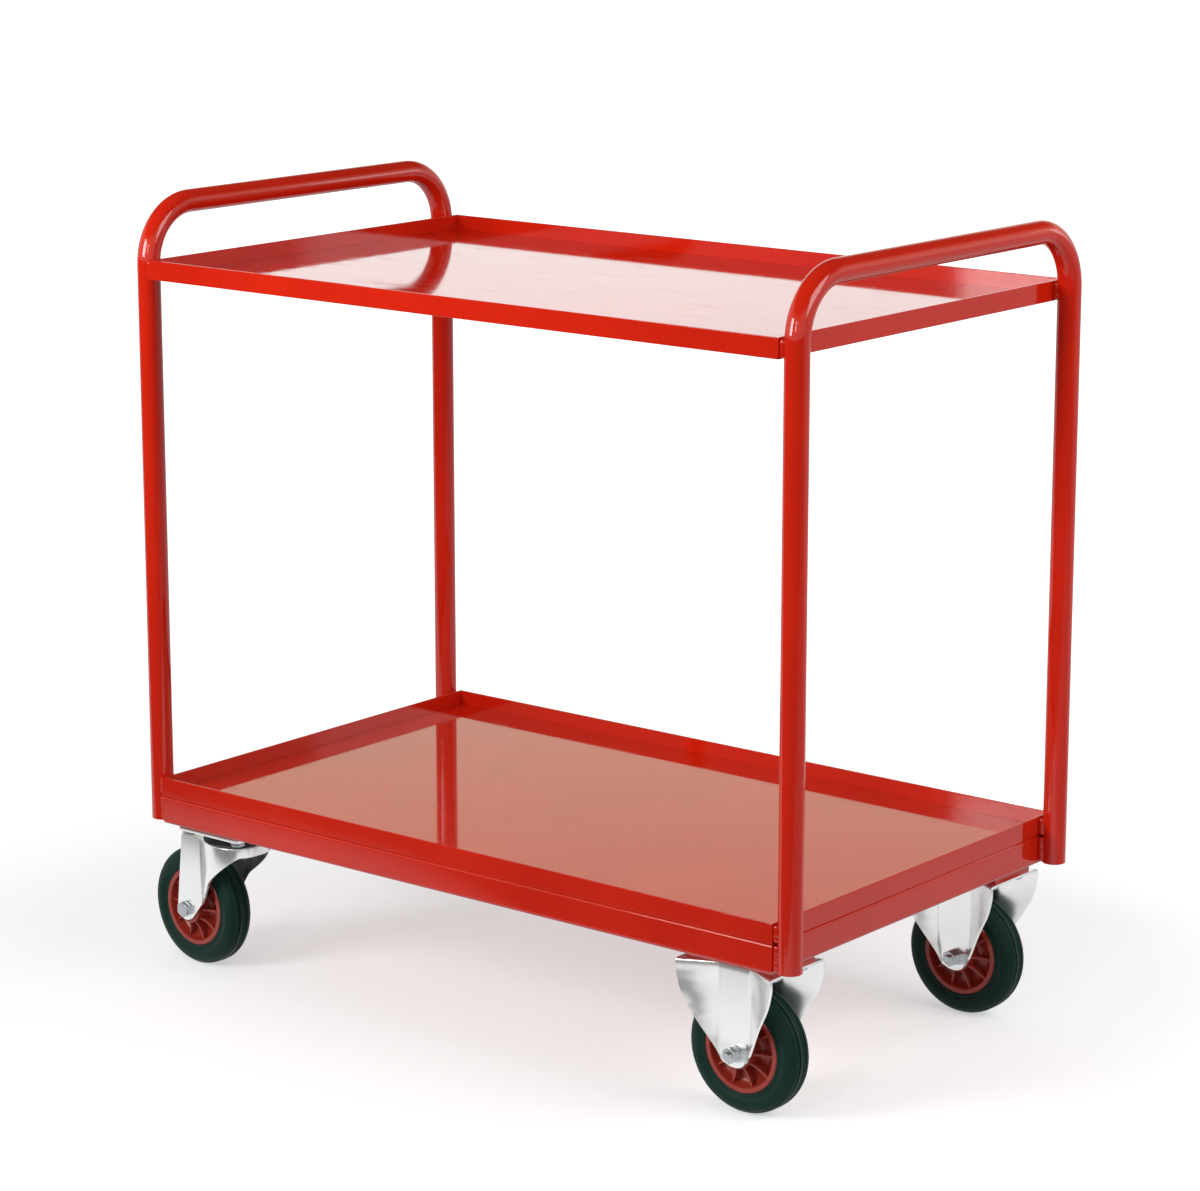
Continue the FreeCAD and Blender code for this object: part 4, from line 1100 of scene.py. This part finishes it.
class TROLLEY_OT_wheels(TrolleyOperator):
    """Mould the four wheels."""
    bl_idname = "trolley.wheels"
    bl_label = "Wheels"

    def execute(self, context):
        """A grooved tyre and a ribbed centre for each axle."""
        for row in ROWS:
            for end in ENDS:
                spot = wheel_place(end, row)
                body = f"wheel_{end}_{row}"
                piece(self.lathe(TYRE_HALF), f"rubber_tyre_{end}_{row}", "tyre", body,
                      [f"tyre_{end}_{row}"], spot, smooth=50)
                piece(self.centre(), f"ribbed_centre_{end}_{row}", "red_plastic", body,
                      [f"wheel_centre_{end}_{row}"], spot)
        return {"FINISHED"}

    def lathe(self, half):
        """Turn a wheel's profile, given on one side, in millimetres."""
        bm = bmesh.new()
        profile = half + [(radius, -width) for radius, width in reversed(half) if width]
        turned(bm, profile, AXLE, self.sizes.wheel_steps)
        return bm

    def centre(self):
        """The wheel centre: boss, dished web, rim, and ribs on both sides."""
        bm = self.lathe(CENTRE_HALF)
        for side in (-1, 1):
            joined(bm, self.ribs(side))
        return bm

    def ribs(self, side):
        """The ribs on one side, standing up from the web between boss and rim."""
        bm = bmesh.new()
        thick = self.sizes.rib_thick / MM
        outline = [(radius, side * width, -thick / 2) for radius, width in RIB_SIDE]
        edges = chain(bm, outline, closed=True)[1]
        face = bmesh.ops.edgeloop_fill(bm, edges=edges)["faces"]
        grown = bmesh.ops.extrude_face_region(bm, geom=face)["geom"]
        bmesh.ops.translate(bm, verts=verts_of(grown), vec=(0, 0, thick))
        soften(bm, sharp_edges(bm), RIB_EDGE, 2)
        number = self.sizes.rib_count
        bmesh.ops.spin(bm, geom=whole(bm), cent=(0, 0, 0), axis=AXLE,
                       angle=FULL * (number - 1) / number, steps=number - 1, use_duplicate=True)
        return bm


class TROLLEY_OT_studio(TrolleyOperator):
    """Set up floor, light and camera."""
    bl_idname = "trolley.studio"
    bl_label = "Studio"

    def execute(self, context):
        """A white floor and room, softboxes round the trolley, a lit wall far behind, and the camera."""
        studio = context.scene.trolley.studio
        self.floor()
        self.room(studio.sky)
        for setting, lamp in LAMPS.items():
            self.panel(getattr(studio, setting), *lamp)
        self.camera(studio.lens)
        context.scene.view_settings.view_transform = "Standard"
        return {"FINISHED"}

    def floor(self):
        """A wide flat sheet under the trolley."""
        bm = bmesh.new()
        bmesh.ops.create_grid(bm, x_segments=FLOOR_CELLS, y_segments=FLOOR_CELLS, size=FLOOR_HALF)
        mesh = mesh_of(bm, "studio_floor")
        mesh.materials.append(self.paper())
        made = shown("studio_floor", mesh)

    def paper(self):
        """Pale paper that the camera sees as white with the trolley's shadow on it."""
        material = bpy.data.materials.new("White Paper")
        material.use_nodes = True
        tree = material.node_tree
        tree.nodes.remove(tree.nodes["Principled BSDF"])
        spot = place_of(tree)
        rays = node(tree, "ShaderNodeLightPath")
        camera, glossy = out(rays, "Is Camera Ray"), out(rays, "Is Glossy Ray")
        along = node(tree, "ShaderNodeSeparateXYZ", {"Vector": spot})
        x, y = out(along, "X"), out(along, "Y")
        reach = maths(tree, "ADD", ramp(tree, x, *REACH_LEFT), ramp(tree, x, *REACH_RIGHT))
        sheet = ramp(tree, maths(tree, "ADD", y, reach), *SHEET_EDGE)
        ahead = times(tree, glossy, ramp(tree, sheet, 1.0, 0.0))
        tone = ramp(tree, noise(tree, spot, PAPER_GRAIN, 4.0), *PAPER_TONE)
        shade = times(tree, tone, ramp(tree, ahead, *PAPER_AHEAD))
        shade = times(tree, shade, ramp(tree, camera, *PAPER_SEEN))
        paper = node(tree, "ShaderNodeBsdfDiffuse", {"Color": shade})
        beside = times(tree, sheet, ramp(tree, y, *SHEET_REAR))
        beside = times(tree, beside, ramp(tree, x, *SHEET_RIGHT))
        mirrored = times(tree, glossy, maths(tree, "MAXIMUM", beside, ramp(tree, y, *FAR_FLOOR)))
        away = out(node(tree, "ShaderNodeVectorMath", {"Vector": spot}, operation="LENGTH"), "Value")
        strength = ramp(tree, away, *GLOW_AWAY)
        glow = node(tree, "ShaderNodeEmission", {"Strength": strength, "Color": GLOW_TINT})
        both = node(tree, "ShaderNodeAddShader")
        tree.links.new(out(paper), both.inputs[0])
        tree.links.new(out(glow), both.inputs[1])
        seen = self.blend(tree, camera, out(paper), out(both))
        white = node(tree, "ShaderNodeEmission", {"Strength": SHEET_WHITE})
        surface = self.blend(tree, mirrored, seen, out(white))
        tree.links.new(surface, tree.nodes["Material Output"].inputs["Surface"])
        return material

    def blend(self, tree, factor, first, last):
        """One shader that turns into another."""
        made = node(tree, "ShaderNodeMixShader")
        for source, target in zip((factor, first, last), made.inputs):
            tree.links.new(source, target)
        return out(made)

    def room(self, sky):
        """White to the eye, a white wall behind in reflections with a dim ceiling, softer as light."""
        world = bpy.data.worlds.new("White Room")
        world.use_nodes = True
        tree = world.node_tree
        rays = node(tree, "ShaderNodeLightPath")
        camera, glossy = out(rays, "Is Camera Ray"), out(rays, "Is Glossy Ray")
        around = out(node(tree, "ShaderNodeTexCoord"), "Generated")
        toward = node(tree, "ShaderNodeSeparateXYZ", {"Vector": around})
        y, z = out(toward, "Y"), out(toward, "Z")
        wall = times(tree, ramp(tree, y, *WALL_START), ramp(tree, z, *WALL_TOP))
        low = times(tree, ramp(tree, z, *FRONT_FOOT), ramp(tree, z, *FRONT_TOP))
        ahead = times(tree, ramp(tree, y, *FRONT_START), low)
        mirrored = maths(tree, "MAXIMUM", ramp(tree, wall, *WALL_WHITE), times(tree, ahead, FRONT_WHITE))
        bent = maths(tree, "MAXIMUM", glossy, out(rays, "Is Transmission Ray"))
        unseen = ramp(tree, bent, 0.0, 1.0, sky, mirrored)
        strength = ramp(tree, camera, 0.0, 1.0, unseen, 1.0)
        tree.links.new(strength, tree.nodes["Background"].inputs["Strength"])
        high = times(tree, ramp(tree, z, *WARM_START), glossy)
        tint = mixed(tree, high, (1, 1, 1), WARM_TINT)
        tree.links.new(tint, tree.nodes["Background"].inputs["Color"])
        bpy.context.scene.world = world

    def panel(self, power, name, spot, aim, size, tint=(1, 1, 1), spread=180):
        """A soft rectangular lamp that the camera doesn't see."""
        lamp = bpy.data.lights.new(name, "AREA")
        lamp.shape = "RECTANGLE"
        lamp.size, lamp.size_y = size
        lamp.energy = power
        lamp.color = tint
        lamp.spread = math.radians(spread)
        made = shown(name, lamp)
        made.location = spot
        made.rotation_euler = (Vector(aim) - Vector(spot)).to_track_quat("-Z", "Y").to_euler()
        made.visible_camera = False

    def camera(self, lens):
        """The camera at the photograph's place."""
        eye = bpy.data.cameras.new("Camera")
        eye.lens = lens
        eye.sensor_width = SENSOR_WIDTH
        eye.clip_end = EYE_REACH
        made = shown("Camera", eye)
        low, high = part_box("top_deck")
        right, ahead, up = EYE_AWAY
        made.location = ((low.x + high.x) / 2 + right, ahead, up)
        made.rotation_euler = Vector(EYE_AIM).to_track_quat("-Z", "Y").to_euler()
        bpy.context.scene.camera = made


class TROLLEY_PT_sidebar(bpy.types.Panel):
    """The trolley's steps and settings."""
    bl_idname = "TROLLEY_PT_sidebar"
    bl_label = "Tray Trolley"
    bl_space_type = "VIEW_3D"
    bl_region_type = "UI"
    bl_category = "Trolley"

    def draw(self, context):
        """List the operators in their order, then the settings."""
        settings = context.scene.trolley
        for step in STEPS:
            self.layout.operator(step.bl_idname)
        for group in (settings.finishes, settings.sizes, settings.studio):
            box = self.layout.box()
            for name in group.__annotations__:
                box.prop(group, name)


STEPS = (
    TROLLEY_OT_frame_finish, TROLLEY_OT_hoops, TROLLEY_OT_plugs, TROLLEY_OT_welds,
    TROLLEY_OT_fixed_brackets, TROLLEY_OT_swivel_heads, TROLLEY_OT_forks, TROLLEY_OT_fasteners,
    TROLLEY_OT_wheels, TROLLEY_OT_studio,
)
CLASSES = (TrolleyFinishes, TrolleySizes, TrolleyStudio, TrolleySettings, *STEPS, TROLLEY_PT_sidebar)


def register():
    """Add the classes and the settings."""
    for item in CLASSES:
        bpy.utils.register_class(item)
    bpy.types.Scene.trolley = PointerProperty(type=TrolleySettings)


def unregister():
    """Take the settings and the classes away."""
    del bpy.types.Scene.trolley
    for item in reversed(CLASSES):
        bpy.utils.unregister_class(item)


def main():
    """Dress the trolley step by step."""
    register()
    for step in STEPS:
        group, name = step.bl_idname.split(".")
        getattr(getattr(bpy.ops, group), name)()


if __name__ == "__main__":
    main()
